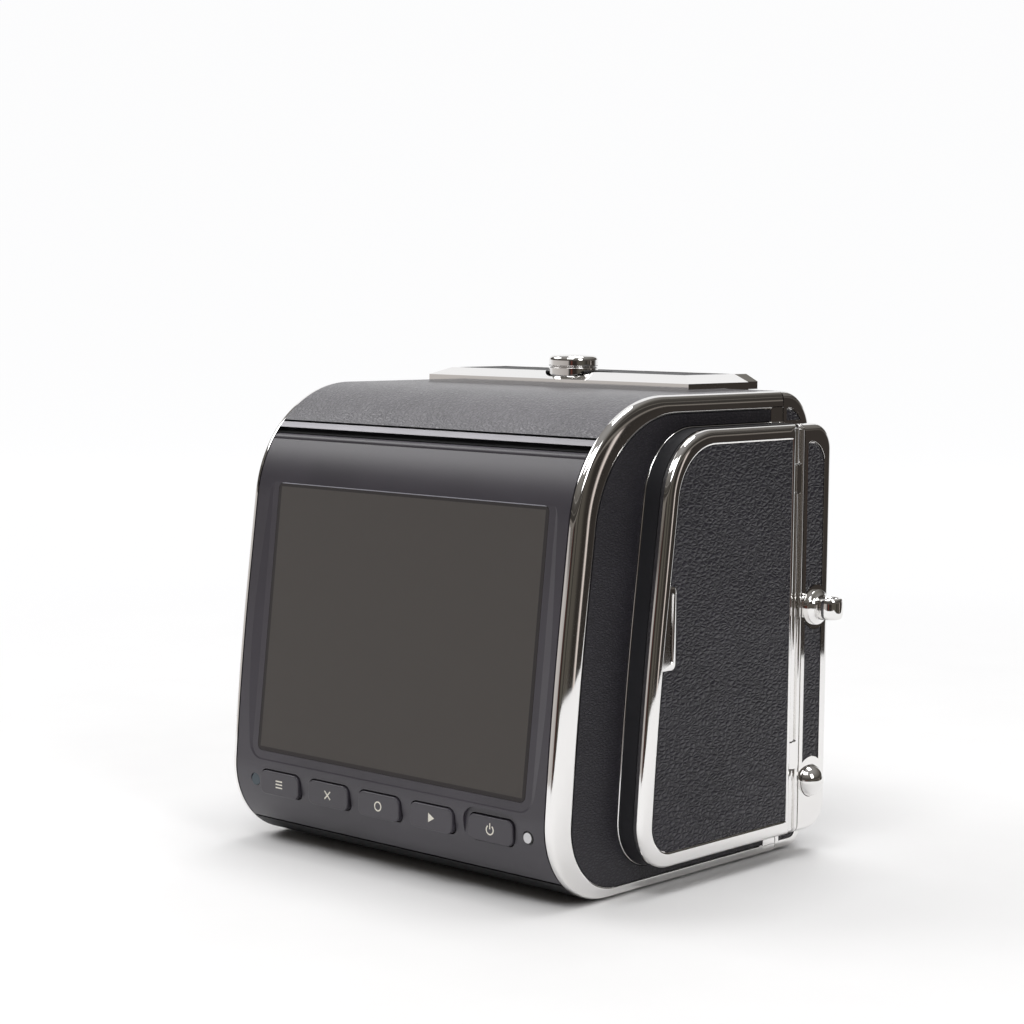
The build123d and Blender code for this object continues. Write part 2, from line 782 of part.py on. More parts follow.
# Bevelled deck plate with its dark inlay and the pocket for the release knob
plate_top_z = deck_z + plate_rise
plate_edge_z = deck_z + plate_wall
pocket_r = knob_r + knob_pocket_gap
with BuildPart() as deck_plate:
    with BuildSketch(Plane.XY.offset(leather_floor_z)):
        with Locations((0, plate_mid_y)):
            Rectangle(2 * plate_half_w, plate_rear_back)
    extrude(amount=plate_edge_z - leather_floor_z)
    with BuildSketch(Plane.XY.offset(plate_edge_z)):
        with Locations((0, plate_mid_y)):
            Rectangle(2 * plate_half_w, plate_rear_back)
    with BuildSketch(Plane.XY.offset(plate_top_z)):
        with Locations((0, parting_y)):
            top_long = plate_rear_back - plate_bevel
            Rectangle(2 * (plate_half_w - plate_bevel), top_long, align=(Align.CENTER, Align.MAX))
    loft()
    with BuildSketch(Plane.XY.offset(plate_top_z - deck_cover_t)):
        with Locations((0, parting_y + overrun)):
            cover_half = plate_half_w - plate_bevel - deck_cover_in
            cover_long = plate_rear_back - plate_bevel - deck_cover_in + overrun
            Rectangle(2 * cover_half, cover_long, align=(Align.CENTER, Align.MAX))
    extrude(amount=overrun, mode=Mode.SUBTRACT)
    with BuildSketch(Plane.XY.offset(knob_base_z - run_gap)):
        with Locations((knob_travel / 2, knob_y)):
            SlotCenterToCenter(knob_travel, 2 * pocket_r)
    extrude(amount=overrun, mode=Mode.SUBTRACT)
    with BuildSketch(Plane.XY.offset(leather_floor_z)):
        with Locations((knob_travel / 2, knob_y)):
            SlotCenterToCenter(knob_travel, 2 * (knob_stem_r + run_gap))
    extrude(amount=overrun, mode=Mode.SUBTRACT)
with BuildPart() as deck_cover:
    with BuildSketch(Plane.XY.offset(plate_top_z - deck_cover_t)):
        with Locations((0, parting_y)):
            inlay_half = cover_half - lay_gap
            inlay_long = plate_rear_back - plate_bevel - deck_cover_in - lay_gap
            Rectangle(2 * inlay_half, inlay_long, align=(Align.CENTER, Align.MAX))
        with Locations((knob_travel / 2, knob_y)):
            SlotCenterToCenter(knob_travel, 2 * (pocket_r + lay_gap), mode=Mode.SUBTRACT)
    extrude(amount=deck_cover_t - lay_gap)

# Release knob: a turned button in two tiers, on a stem with a foot under the roof
knob_mid_z = knob_base_z + (knob_top_z - knob_base_z) * knob_step_share
knob_profile = [
    (0, knob_base_z),
    (knob_r - 2 * knob_groove, knob_base_z),
    (knob_r, knob_base_z + 2 * knob_groove),
    (knob_r, knob_mid_z),
    (knob_r - knob_groove, knob_mid_z + knob_groove),
    (knob_r - knob_groove, knob_mid_z + 2 * knob_groove),
    (knob_r - knob_groove, knob_top_z - 2 * knob_groove),
    (knob_r - knob_edge, knob_top_z),
    (0, knob_top_z),
]
knob_foot_z = deck_z - casing_roof - run_gap
with BuildPart() as release_knob:
    with BuildSketch(Plane.XZ.offset(-knob_y)):
        with BuildLine():
            Polyline(*knob_profile, close=True)
        make_face()
    revolve(axis=Axis((0, knob_y, 0), (0, 0, 1)))
    with Locations((0, knob_y, knob_foot_z)):
        stem_len = knob_base_z - knob_foot_z
        Cylinder(knob_stem_r, stem_len, align=(Align.CENTER, Align.CENTER, Align.MIN))
    with Locations((0, knob_y, knob_foot_z)):
        Box(knob_foot_w, knob_foot_w, knob_foot_t, align=(Align.CENTER, Align.CENTER, Align.MAX))

# Base plate and the threaded tripod socket
with BuildPart() as base_plate:
    with BuildSketch(Plane.XY):
        with Locations((0, base_mid_y)):
            RectangleRounded(2 * base_half_w, base_long, base_corner_r)
        with Locations((0, bush_y)):
            Circle(bush_r + fit_gap, mode=Mode.SUBTRACT)
    extrude(amount=base_plate_t)
with BuildPart() as tripod_socket:
    with Locations((0, bush_y, 0)):
        Cylinder(bush_r, bush_len, align=(Align.CENTER, Align.CENTER, Align.MIN))
    with Locations((0, bush_y, 0)):
        Cylinder(thread_r, thread_len, align=(Align.CENTER, Align.CENTER, Align.MIN), mode=Mode.SUBTRACT)

# Image sensor stack, hung behind the front plate
sensor_y = parting_y + sensor_ahead
flange_y = sensor_y + flange_focal
stack_front_y = sensor_y + sensor_lip
with BuildPart() as sensor_frame:
    with BuildSketch(Plane.XZ.offset(-stack_front_y)):
        with Locations((0, axis_z)):
            Rectangle(sensor_frame_w - 2 * fit_gap, sensor_frame_h - 2 * fit_gap)
    extrude(amount=stack_front_y - casing_front_y)
    with BuildSketch(Plane.XZ.offset(-casing_front_y)):
        with Locations((0, axis_z)):
            Rectangle(sensor_frame_w + 2 * sensor_flange, sensor_frame_h + 2 * sensor_flange)
    extrude(amount=sensor_flange_t)
    with BuildSketch(Plane.XZ.offset(-sensor_y)):
        with Locations((0, axis_z)):
            Rectangle(package_w + 2 * fit_gap, package_h + 2 * fit_gap)
    extrude(amount=sensor_frame_t, mode=Mode.SUBTRACT)
    with BuildSketch(Plane.XZ.offset(-stack_front_y)):
        with Locations((0, axis_z)):
            Rectangle(sensor_w + 2 * mask_margin, sensor_h + 2 * mask_margin)
    extrude(amount=overrun, mode=Mode.SUBTRACT)
    with BuildSketch(Plane.XZ.offset(-stack_front_y)):
        with Locations((0, axis_z)):
            filter_w = sensor_w + 2 * filter_margin
            filter_h = sensor_h + 2 * filter_margin
            Rectangle(filter_w, filter_h)
    extrude(amount=filter_t, mode=Mode.SUBTRACT)
with BuildPart() as sensor_filter:
    with BuildSketch(Plane.XZ.offset(-stack_front_y)):
        with Locations((0, axis_z)):
            Rectangle(filter_w - 2 * fit_gap, filter_h - 2 * fit_gap)
    extrude(amount=filter_t)
with BuildPart() as image_sensor:
    with BuildSketch(Plane.XZ.offset(-sensor_y)):
        with Locations((0, axis_z)):
            Rectangle(package_w, package_h)
    extrude(amount=package_t)
sensor_board_y = sensor_y - package_t
with BuildPart() as sensor_board:
    with BuildSketch(Plane.XZ.offset(-sensor_board_y)):
        with Locations((0, axis_z)):
            Rectangle(package_w, package_h)
    extrude(amount=pcb_t)
spreader_y = casing_front_y - sensor_flange_t
spreader_back_y = spreader_y - spreader_t
main_board_y = spreader_back_y - standoff
standoffs = [(x, axis_z + z) for x in (-standoff_x, standoff_x) for z in (-standoff_z, standoff_z)]
with BuildPart() as heat_spreader:
    with BuildSketch(Plane.XZ.offset(-spreader_y)):
        with Locations((0, axis_z)):
            Rectangle(sensor_frame_w + 2 * sensor_flange, sensor_frame_h + 2 * sensor_flange)
    extrude(amount=spreader_t)
    with BuildSketch(Plane.XZ.offset(-(sensor_board_y - pcb_t))):
        with Locations((0, axis_z)):
            Rectangle(package_w - 2 * fit_gap, package_h - 2 * fit_gap)
    extrude(amount=sensor_board_y - pcb_t - spreader_y)
    with BuildSketch(Plane.XZ.offset(-spreader_back_y)):
        with Locations(*standoffs):
            Circle(standoff_r)
    extrude(amount=standoff)

# Main board with its shielded parts
with BuildPart() as main_board:
    with BuildSketch(Plane.XZ.offset(-main_board_y)):
        with Locations((0, (main_board_low_z + main_board_high_z) / 2)):
            Rectangle(2 * main_board_half_w, main_board_high_z - main_board_low_z)
    extrude(amount=pcb_t)
    with BuildSketch(Plane.XZ.offset(-(main_board_y - pcb_t))):
        with Locations((-chip_w, axis_z + chip_w), (-chip_w, axis_z - chip_w)):
            Rectangle(chip_w, chip_w)
    extrude(amount=chip_t)

# Battery in its bay on the left, standing on two legs in the casing
unit_front_y = main_board_y - pcb_t
bay_front_y = unit_front_y - chip_t - run_gap
battery_front_y = bay_front_y - bay_wall - run_gap
battery_out_x = -(half_w - battery_mouth)
battery_mid_y = battery_front_y - battery_y / 2
battery_mid_z = battery_low_z + battery_z / 2
battery_mid_x = battery_out_x + battery_x / 2
bay_gap = 2 * run_gap
floor_z = base_z + casing_floor
with BuildPart() as battery:
    with Locations((battery_mid_x, battery_mid_y, battery_mid_z)):
        Box(battery_x, battery_y, battery_z)
    fillet(battery.edges().filter_by(Axis.X), battery_edge_r)
bay_out_x = -(trim_half_w - casing_wall)
bay_in_x = battery_out_x + battery_x + run_gap + bay_wall
with BuildPart() as battery_bay:
    with Locations((bay_out_x, battery_mid_y, battery_mid_z)):
        bay_y = battery_y + bay_gap + 2 * bay_wall
        bay_z = battery_z + bay_gap + 2 * bay_wall
        Box(bay_in_x - bay_out_x, bay_y, bay_z, align=(Align.MIN, Align.CENTER, Align.CENTER))
    with Locations((bay_out_x - overrun, battery_mid_y, battery_mid_z)):
        hollow = bay_in_x - bay_wall - bay_out_x + overrun
        hollow_y = battery_y + bay_gap
        hollow_z = battery_z + bay_gap
        bay_align = (Align.MIN, Align.CENTER, Align.CENTER)
        Box(hollow, hollow_y, hollow_z, align=bay_align, mode=Mode.SUBTRACT)
    bay_low_z = battery_mid_z - bay_z / 2
    bay_mid_x = (bay_out_x + bay_in_x) / 2
    for leg_x in ((bay_out_x + bay_mid_x) / 2, (bay_in_x + bay_mid_x) / 2):
        with Locations((leg_x, battery_mid_y, floor_z)):
            Box(bay_leg, bay_leg, bay_low_z - floor_z, align=(Align.CENTER, Align.CENTER, Align.MIN))

# Card reader with two cards, and the block of sockets, both on the main board
card_out_x = half_w - card_mouth
card_in_x = card_out_x - card_len
card_mid_z = card_low_z + card_wide / 2
unit_mid_y = unit_front_y - unit_t / 2
card_y = [unit_mid_y - card_pitch / 2, unit_mid_y + card_pitch / 2]
reader_out_x = card_out_x - card_show
reader_in_x = card_in_x - reader_wall
with BuildPart() as memory_cards:
    for place in card_y:
        with Locations((card_in_x + card_len / 2, place, card_mid_z)):
            Box(card_len, card_t, card_wide)
with BuildPart() as card_reader:
    with Locations((reader_in_x, unit_mid_y, card_mid_z)):
        reader_z = card_wide + 2 * reader_wall
        Box(reader_out_x - reader_in_x, unit_t, reader_z, align=(Align.MIN, Align.CENTER, Align.CENTER))
    for place in card_y:
        with Locations((card_in_x - fit_gap, place, card_mid_z)):
            slot_long = card_len + overrun
            slot_t = card_t + 2 * lay_gap
            slot_z = card_wide + 2 * lay_gap
            slot_align = (Align.MIN, Align.CENTER, Align.CENTER)
            Box(slot_long, slot_t, slot_z, align=slot_align, mode=Mode.SUBTRACT)
socket_mid_z = socket_low_z + socket_block_z / 2
socket_out_x = reader_out_x
with BuildPart() as socket_block:
    with Locations((socket_out_x, unit_mid_y, socket_mid_z)):
        Box(socket_block_x, unit_t, socket_block_z, align=(Align.MAX, Align.CENTER, Align.CENTER))
    with BuildSketch(Plane.YZ.offset(socket_out_x)):
        with Locations((unit_mid_y, socket_mid_z)):
            SlotOverall(port_w, port_h, rotation=90)
        with Locations(
            (unit_mid_y, socket_mid_z + socket_block_z / 3), (unit_mid_y, socket_mid_z - socket_block_z / 3)
        ):
            Circle(jack_r)
    extrude(amount=-port_deep, mode=Mode.SUBTRACT)

# Thin camera body: chrome side frames with the front ends of the door boxes
release_y = parting_y + release_forward
lug_y = parting_y + lug_forward


def body_outline(rear, low, high, front, foot_radius, brow_radius):
    """Side outline of the thin body between two heights."""
    points = [(rear, low), (front, low), (front, high), (rear, high)]
    with BuildLine() as outline:
        FilletPolyline(*points, radius=[foot_radius, brow_radius])
        Line(points[-1], points[0])
    make_face(outline.edges())


def front_rim(part, outer_x):
    """Edges round a body side's outer face, without the one at the parting plane."""
    outer = part.edges().filter_by_position(Axis.X, outer_x - fit_gap, outer_x + fit_gap)
    return outer.filter_by(lambda edge: edge.center().Y > body_rear_y + fit_gap)


leather_back_y = body_rear_y + body_leather_rear
leather_fore_y = plate_front_y - body_leather_front
side_leather_low = base_z + leather_low
side_leather_high = deck_z - leather_high


def body_leather_faces(gap):
    """The two leather strips on the body's box, cut round the lug and the release."""
    low = pod_low_z + body_leather_end + gap
    high = pod_high_z - body_leather_end - gap
    body_outline(leather_back_y + gap, low, high, leather_fore_y - gap, corner_r, body_pod_r - corner_r)
    with Locations((lug_y, lug_z)):
        Circle(lug_base_r + lug_clear + gap, mode=Mode.SUBTRACT)
    with Locations((release_y, release_z)):
        Circle(release_r + release_ring + gap, mode=Mode.SUBTRACT)
        below = release_z - low
        Rectangle(depth, below + gap, align=(Align.CENTER, Align.MAX), mode=Mode.SUBTRACT)


def body_side_faces(gap):
    """The leather of the body's flat side, above and below its box."""
    low = side_leather_low + gap
    high = side_leather_high - gap
    foot = body_foot_r - leather_low
    brow = body_brow_r - leather_high
    body_outline(leather_back_y + gap, low, high, leather_fore_y - gap, foot, brow)
    with Locations((body_rear_y, pod_low_z - pod_bead - gap)):
        box_h = pod_high_z - pod_low_z + 2 * (pod_bead + gap)
        Rectangle(2 * depth, box_h, align=(Align.CENTER, Align.MIN), mode=Mode.SUBTRACT)


with BuildPart() as right_body_frame:
    with BuildSketch(Plane.YZ.offset(trim_half_w)):
        body_outline(body_rear_y, base_z, deck_z, plate_front_y, body_foot_r, body_brow_r)
    extrude(amount=half_w - trim_half_w)
    fillet(front_rim(right_body_frame, half_w), rim_r)
    with BuildSketch(Plane.YZ.offset(half_w)):
        body_side_faces(0)
    extrude(amount=-recess_t, mode=Mode.SUBTRACT)
    with BuildSketch(Plane.YZ.offset(half_w)):
        body_outline(body_rear_y, pod_low_z, pod_high_z, plate_front_y, body_pod_r, body_pod_r)
    extrude(amount=pod_half_w - half_w)
    fillet(front_rim(right_body_frame, pod_half_w), door_rim_r)
    with BuildSketch(Plane.YZ.offset(pod_half_w)):
        body_leather_faces(0)
    extrude(amount=-recess_t, mode=Mode.SUBTRACT)
with BuildPart() as left_body_frame:
    mirror(right_body_frame.part, about=Plane.YZ)
with right_body_frame:
    with Locations(Plane.YZ.offset(pod_half_w)):
        with Locations((release_y, release_z)):
            bore = release_stem_r + fit_gap
            bore_len = release_stem_len + release_travel + lay_gap
            Cylinder(bore, 2 * bore_len, mode=Mode.SUBTRACT)
            pit = release_travel + lay_gap
            Cylinder(release_r + fit_gap, 2 * pit, mode=Mode.SUBTRACT)

# Leather strips on both sides of the thin body
with BuildPart(mode=Mode.PRIVATE) as right_strips:
    with BuildSketch(Plane.YZ.offset(pod_half_w - recess_t)):
        body_leather_faces(lay_gap)
    extrude(amount=leather_t)
    with BuildSketch(Plane.YZ.offset(half_w - recess_t)):
        body_side_faces(lay_gap)
    extrude(amount=leather_t)
with BuildPart() as body_side_leathers:
    add(right_strips.part)
    mirror(right_strips.part, about=Plane.YZ)

# Casting of the thin body with the round light path
casting_front_y = plate_front_y - front_leather_t
shutter_plane = Plane(origin=(shutter_x, plate_front_y, shutter_z), x_dir=(1, 0, 0), z_dir=(0, 1, 0))
with BuildPart() as body_casting:
    with BuildSketch(Plane.YZ):
        body_outline(body_rear_y, base_z, deck_z, casting_front_y, body_foot_r, body_brow_r)
    extrude(amount=trim_half_w, both=True)
    with BuildSketch(Plane.XZ.offset(-casting_front_y)):
        with Locations((0, axis_z)):
            Circle(body_bore_r)
    extrude(amount=plate_depth, mode=Mode.SUBTRACT)
    with BuildSketch(Plane.XZ.offset(-stack_front_y - run_gap)):
        with Locations((0, axis_z)):
            Rectangle(sensor_frame_w + 2 * run_gap, sensor_frame_h + 2 * run_gap)
    extrude(amount=overrun, mode=Mode.SUBTRACT)
    with BuildSketch(shutter_plane.offset(-front_leather_t)):
        Circle(shutter_hub_r)
    extrude(amount=front_leather_t + shutter_hub_rise)
    with BuildSketch(shutter_plane.offset(shutter_hub_rise)):
        Circle(shutter_stem_r + fit_gap)
    stem_deep = front_leather_t + shutter_stem_len + shutter_travel + lay_gap
    extrude(amount=-stem_deep - shutter_hub_rise, mode=Mode.SUBTRACT)

# Chrome deck of the thin body, falling away to the front
deck_top = [
    (body_rear_y, deck_z),
    (body_rear_y, plate_top_z),
    (body_rear_y + plate_bevel, plate_top_z),
    (plate_front_y - body_brow_r / 2, deck_z + plate_wall),
    (plate_front_y - body_brow_r / 2, deck_z),
]
with BuildPart() as body_deck:
    with BuildSketch(Plane.YZ):
        with BuildLine():
            Polyline(*deck_top, close=True)
        make_face()
    extrude(amount=plate_half_w - plate_bevel / 2, both=True)
    ends = body_deck.faces().filter_by(Axis.X).edges().group_by(Axis.Z)[-1]
    chamfer(ends, plate_wall)
    with BuildSketch(Plane.YZ):
        body_outline(body_rear_y, base_z, deck_z, casting_front_y, body_foot_r, body_brow_r)
    extrude(amount=trim_half_w, both=True, mode=Mode.SUBTRACT)

# Leather on the front
with BuildPart() as front_leather:
    with BuildSketch(Plane.XZ.offset(-casting_front_y)):
        front_mid_z = (base_z + deck_z) / 2
        with Locations((0, front_mid_z)):
            leather_w = 2 * (trim_half_w - front_leather_in)
            leather_h = deck_z - base_z - 2 * (front_leather_end + front_leather_r / 2)
            RectangleRounded(leather_w, leather_h, front_leather_r)
        with Locations((0, axis_z)):
            Circle(boss_r + lay_gap, mode=Mode.SUBTRACT)
        with Locations((shutter_x, shutter_z)):
            Circle(shutter_hub_r + lay_gap, mode=Mode.SUBTRACT)
    extrude(amount=-front_leather_t)

# Lens mount: the boss, the bayonet ring, its screws and the contacts
boss_profile = [
    (body_bore_r, casting_front_y),
    (boss_r, casting_front_y),
    (boss_r, plate_front_y + boss_wall),
    (boss_face_r, flange_y - boss_step),
    (ring_r + fit_gap, flange_y - boss_step),
    (ring_r + fit_gap, flange_y - ring_t),
    (body_bore_r, flange_y - ring_t),
]
mount_axis = Axis((0, 0, axis_z), (0, 1, 0))
mount_plane = Plane(origin=(0, flange_y, axis_z), x_dir=(1, 0, 0), z_dir=(0, 1, 0))
lock_angle = radians(lock_pin_deg)
lock_x = lock_pin_ring_r * cos(lock_angle)
lock_z = lock_pin_ring_r * sin(lock_angle)
with BuildPart() as mount_boss:
    with BuildSketch(Plane.XY.offset(axis_z)):
        with BuildLine():
            Polyline(*boss_profile, close=True)
        make_face()
    revolve(axis=mount_axis)
    with Locations(mount_plane):
        with Locations((lock_x, -lock_z)):
            lock_bore = lock_pin_r + fit_gap
            Cylinder(lock_bore, 2 * (lock_pin_len + overrun), mode=Mode.SUBTRACT)
        with PolarLocations(mount_screw_ring_r, mount_screw_count, start_angle=mount_screw_deg):
            Cylinder(mount_screw_r, 2 * mount_screw_len, mode=Mode.SUBTRACT)
with BuildPart() as bayonet_ring:
    with BuildSketch(mount_plane):
        Circle(ring_r)
        Circle(throat_r, mode=Mode.SUBTRACT)
    extrude(amount=-ring_t)
    with BuildSketch(mount_plane):
        for number in range(slot_count):
            turn = number * 360 / slot_count
            with BuildLine():
                CenterArc((0, 0), slot_r, turn, slot_deg)
                first = (slot_r * cos(radians(turn)), slot_r * sin(radians(turn)))
                last_turn = turn + slot_deg
                last = (slot_r * cos(radians(last_turn)), slot_r * sin(radians(last_turn)))
                Polyline(last, (0, 0), first)
            make_face()
        Circle(throat_r - fit_gap, mode=Mode.SUBTRACT)
    extrude(amount=-ring_t / 2, mode=Mode.SUBTRACT)
    with Locations(mount_plane):
        with Locations((lock_x, -lock_z)):
            Cylinder(lock_pin_r + fit_gap, 2 * lock_pin_len, mode=Mode.SUBTRACT)
        with PolarLocations(mount_screw_ring_r, mount_screw_count, start_angle=mount_screw_deg):
            Cylinder(mount_screw_r, 2 * mount_screw_len, mode=Mode.SUBTRACT)
with BuildPart() as mount_screws:
    with Locations(mount_plane):
        with PolarLocations(mount_screw_ring_r, mount_screw_count, start_angle=mount_screw_deg):
            Cylinder(mount_screw_r, mount_screw_len, align=(Align.CENTER, Align.CENTER, Align.MAX))
    heads = mount_screws.faces().filter_by(Axis.Y).group_by(Axis.Y)[-1]
    for head in heads:
        with BuildSketch(Plane(head.center(), x_dir=(1, 0, 0), z_dir=(0, 1, 0))):
            Rectangle(mount_screw_r, screw_slot_w)
            Rectangle(screw_slot_w, mount_screw_r)
        extrude(amount=-screw_slot_deep, mode=Mode.SUBTRACT)
contact_y = flange_y - ring_t - contact_sink
block_half = contact_count * contact_pitch / 2
block_low = (throat_r**2 - block_half**2) ** 0.5
with BuildPart() as contact_block:
    with BuildSketch(Plane.XZ.offset(-contact_y)):
        with Locations((0, axis_z)):
            Circle(body_bore_r)
        with Locations((0, axis_z - block_low + contact_block_deep)):
            Rectangle(2 * block_half, throat_r, align=(Align.CENTER, Align.MAX), mode=Mode.INTERSECT)
    extrude(amount=contact_block_t)
contact_z = axis_z - block_low + contact_block_deep / 2
with BuildPart() as contact_pins:
    with BuildSketch(Plane.XZ.offset(-contact_y)):
        with Locations((0, contact_z)):
            with GridLocations(contact_pitch, contact_pitch, contact_count, 1):
                Circle(contact_r)
    extrude(amount=-contact_rise)

# Locking pin of the lens mount and the release button that draws it back
with BuildPart() as lens_lock_pin:
    with Locations(mount_plane.offset(flange_back)):
        with Locations((lock_x, -lock_z)):
            Cylinder(lock_pin_r, lock_pin_len, align=(Align.CENTER, Align.CENTER, Align.MAX))
    fillet(lens_lock_pin.faces().sort_by(Axis.Y)[-1].edges(), lock_pin_edge_r)
dome_r = (release_r**2 + release_rise**2) / (2 * release_rise)
with BuildPart() as lens_release:
    with BuildSketch(Plane.XY.offset(release_z)):
        with BuildLine():
            base_x = pod_half_w - lay_gap
            tip = (pod_half_w + release_rise, release_y)
            shoulder = (pod_half_w, release_y + release_r)
            bow_x = pod_half_w + release_rise - dome_r + dome_r * cos(radians(release_bow_deg))
            bow = (bow_x, release_y + dome_r * sin(radians(release_bow_deg)))
            ThreePointArc(tip, bow, shoulder)
            Polyline(shoulder, (base_x, release_y + release_r), (base_x, release_y), tip)
        make_face()
    revolve(axis=Axis((0, release_y, release_z), (1, 0, 0)))
    with Locations(Plane.YZ.offset(base_x)):
        with Locations((release_y, release_z)):
            Cylinder(release_stem_r, release_stem_len, align=(Align.CENTER, Align.CENTER, Align.MAX))

# Strap lugs: a round base, a neck and a ring with an upright hole, on both sides
ring_x = lug_half_w - lug_ring_r
with BuildPart(mode=Mode.PRIVATE) as right_lug:
    with Locations(Plane.YZ.offset(pod_half_w)):
        with Locations((lug_y, lug_z)):
            Cylinder(lug_base_r, lug_base_rise, align=(Align.CENTER, Align.CENTER, Align.MIN))
    fillet(right_lug.faces().sort_by(Axis.X)[-1].edges(), lug_base_rise / 2)
    with Locations(Plane.YZ.offset(pod_half_w)):
        with Locations((lug_y, lug_z)):
            neck = ring_x - pod_half_w
            Cylinder(lug_neck_r, neck, align=(Align.CENTER, Align.CENTER, Align.MIN))
    with BuildSketch(Plane.XZ.offset(-lug_y)):
        with Locations((ring_x + (lug_ring_r + lug_hole_r) / 2, lug_z)):
            RectangleRounded(lug_ring_r - lug_hole_r, lug_ring_t, lug_edge_r)
    revolve(axis=Axis((ring_x, lug_y, 0), (0, 0, 1)))
    with Locations((ring_x, lug_y, lug_z)):
        Cylinder(lug_hole_r, 2 * lug_ring_t, mode=Mode.SUBTRACT)
with BuildPart() as strap_lugs:
    add(right_lug.part)
    mirror(right_lug.part, about=Plane.YZ)

# Shutter button with the knurled wheel that turns round it
with BuildPart() as control_wheel:
    with BuildSketch(shutter_plane.offset(lay_gap)):
        Circle(wheel_r)
        Circle(wheel_bore_r + fit_gap, mode=Mode.SUBTRACT)
        with PolarLocations(wheel_r, wheel_teeth):
            Circle(wheel_tooth_r, mode=Mode.SUBTRACT)
    extrude(amount=wheel_t)
with BuildPart() as shutter_button:
    with BuildSketch(shutter_plane.offset(shutter_hub_rise + shutter_travel + lay_gap)):
        Circle(shutter_r)
    extrude(amount=shutter_rise - shutter_hub_rise - shutter_travel)
    fillet(shutter_button.faces().sort_by(Axis.Y)[-1].edges(), shutter_edge_r)
    with BuildSketch(shutter_plane.offset(-front_leather_t - shutter_stem_len)):
        Circle(shutter_stem_r)
    extrude(amount=shutter_stem_len + front_leather_t + shutter_hub_rise + shutter_travel + lay_gap)

pieces = {
    "back_casing": back_casing,
    "front_plate": front_plate,
    "right_side_frame": right_side_frame,
    "left_side_frame": left_side_frame,
    "right_side_leather": right_side_leather,
    "left_side_leather": left_side_leather,
    "right_pod_wall": right_pod_wall,
    "left_pod_wall": left_pod_wall,
    "right_door": right_door,
    "left_door": left_door,
    "right_door_leather": right_door_leather,
    "left_door_leather": left_door_leather,
    "door_pins": door_pins,
    "top_leather": top_leather,
    "hinge_strip": hinge_strip,
    "deck_plate": deck_plate,
    "deck_cover": deck_cover,
    "release_knob": release_knob,
    "base_plate": base_plate,
    "tripod_socket": tripod_socket,
    "screen_bezel": screen_bezel,
    "screen_back_cover": screen_back_cover,
    "screen_glass": screen_glass,
    "display_module": display_module,
    "key_board": key_board,
    "light_sensor": light_sensor,
    "status_lamp": status_lamp,
    "screen_hinge_pins": screen_hinge_pins,
    "sensor_frame": sensor_frame,
    "sensor_filter": sensor_filter,
    "image_sensor": image_sensor,
    "sensor_board": sensor_board,
    "heat_spreader": heat_spreader,
    "main_board": main_board,
    "battery": battery,
    "battery_bay": battery_bay,
    "memory_cards": memory_cards,
    "card_reader": card_reader,
    "socket_block": socket_block,
    "right_body_frame": right_body_frame,
    "left_body_frame": left_body_frame,
    "body_side_leathers": body_side_leathers,
    "body_casting": body_casting,
    "body_deck": body_deck,
    "front_leather": front_leather,
    "mount_boss": mount_boss,
    "bayonet_ring": bayonet_ring,
    "mount_screws": mount_screws,
    "contact_block": contact_block,
    "contact_pins": contact_pins,
    "lens_lock_pin": lens_lock_pin,
    "lens_release": lens_release,
    "strap_lugs": strap_lugs,
    "control_wheel": control_wheel,
    "shutter_button": shutter_button,
}
pieces.update(zip(key_names, keys))
for name, piece in pieces.items():
    save(piece, name)
print(len(pieces), "pieces")
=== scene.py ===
import bmesh
import bpy
import numpy as np
from mathutils import Matrix, Vector


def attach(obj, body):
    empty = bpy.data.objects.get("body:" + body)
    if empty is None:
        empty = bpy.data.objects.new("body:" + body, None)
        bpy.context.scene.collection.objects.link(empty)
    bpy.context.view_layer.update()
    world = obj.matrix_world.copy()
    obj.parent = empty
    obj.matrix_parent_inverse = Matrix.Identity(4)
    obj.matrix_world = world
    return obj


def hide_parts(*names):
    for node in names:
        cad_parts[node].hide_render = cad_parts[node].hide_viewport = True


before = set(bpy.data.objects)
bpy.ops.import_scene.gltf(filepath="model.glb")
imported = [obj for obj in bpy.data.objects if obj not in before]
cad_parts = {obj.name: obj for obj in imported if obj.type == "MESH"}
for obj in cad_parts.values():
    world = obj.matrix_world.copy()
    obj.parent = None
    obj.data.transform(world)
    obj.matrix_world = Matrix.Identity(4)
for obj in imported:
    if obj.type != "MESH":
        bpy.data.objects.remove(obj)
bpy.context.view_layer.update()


# The view: from behind and to the right of the camera, a little above the screen,
# with a long lens about 0.43 m away.
view_turn, view_rise, view_roll = np.radians((42.25, 5.23, 0.53))
view_place = Vector((0.29043, -0.32734, 0.10254))
lens_length, film_width = 81.81, 36.0
nearest, farthest = 0.01, 20.0
back = Vector((np.sin(view_turn) * np.cos(view_rise), -np.cos(view_turn) * np.cos(view_rise),
               np.sin(view_rise)))
level = (-back).cross(Vector((0, 0, 1))).normalized()
upward = level.cross(-back)
right = level * np.cos(view_roll) + upward * np.sin(view_roll)
above = upward * np.cos(view_roll) - level * np.sin(view_roll)
eye = bpy.data.cameras.new("view")
eye.lens, eye.sensor_width = lens_length, film_width
eye.clip_start, eye.clip_end = nearest, farthest
eye_object = bpy.data.objects.new("view", eye)
bpy.context.collection.objects.link(eye_object)
view_axes = Matrix((right, above, back)).transposed().to_4x4()
eye_object.matrix_world = Matrix.Translation(view_place) @ view_axes
bpy.context.scene.camera = eye_object


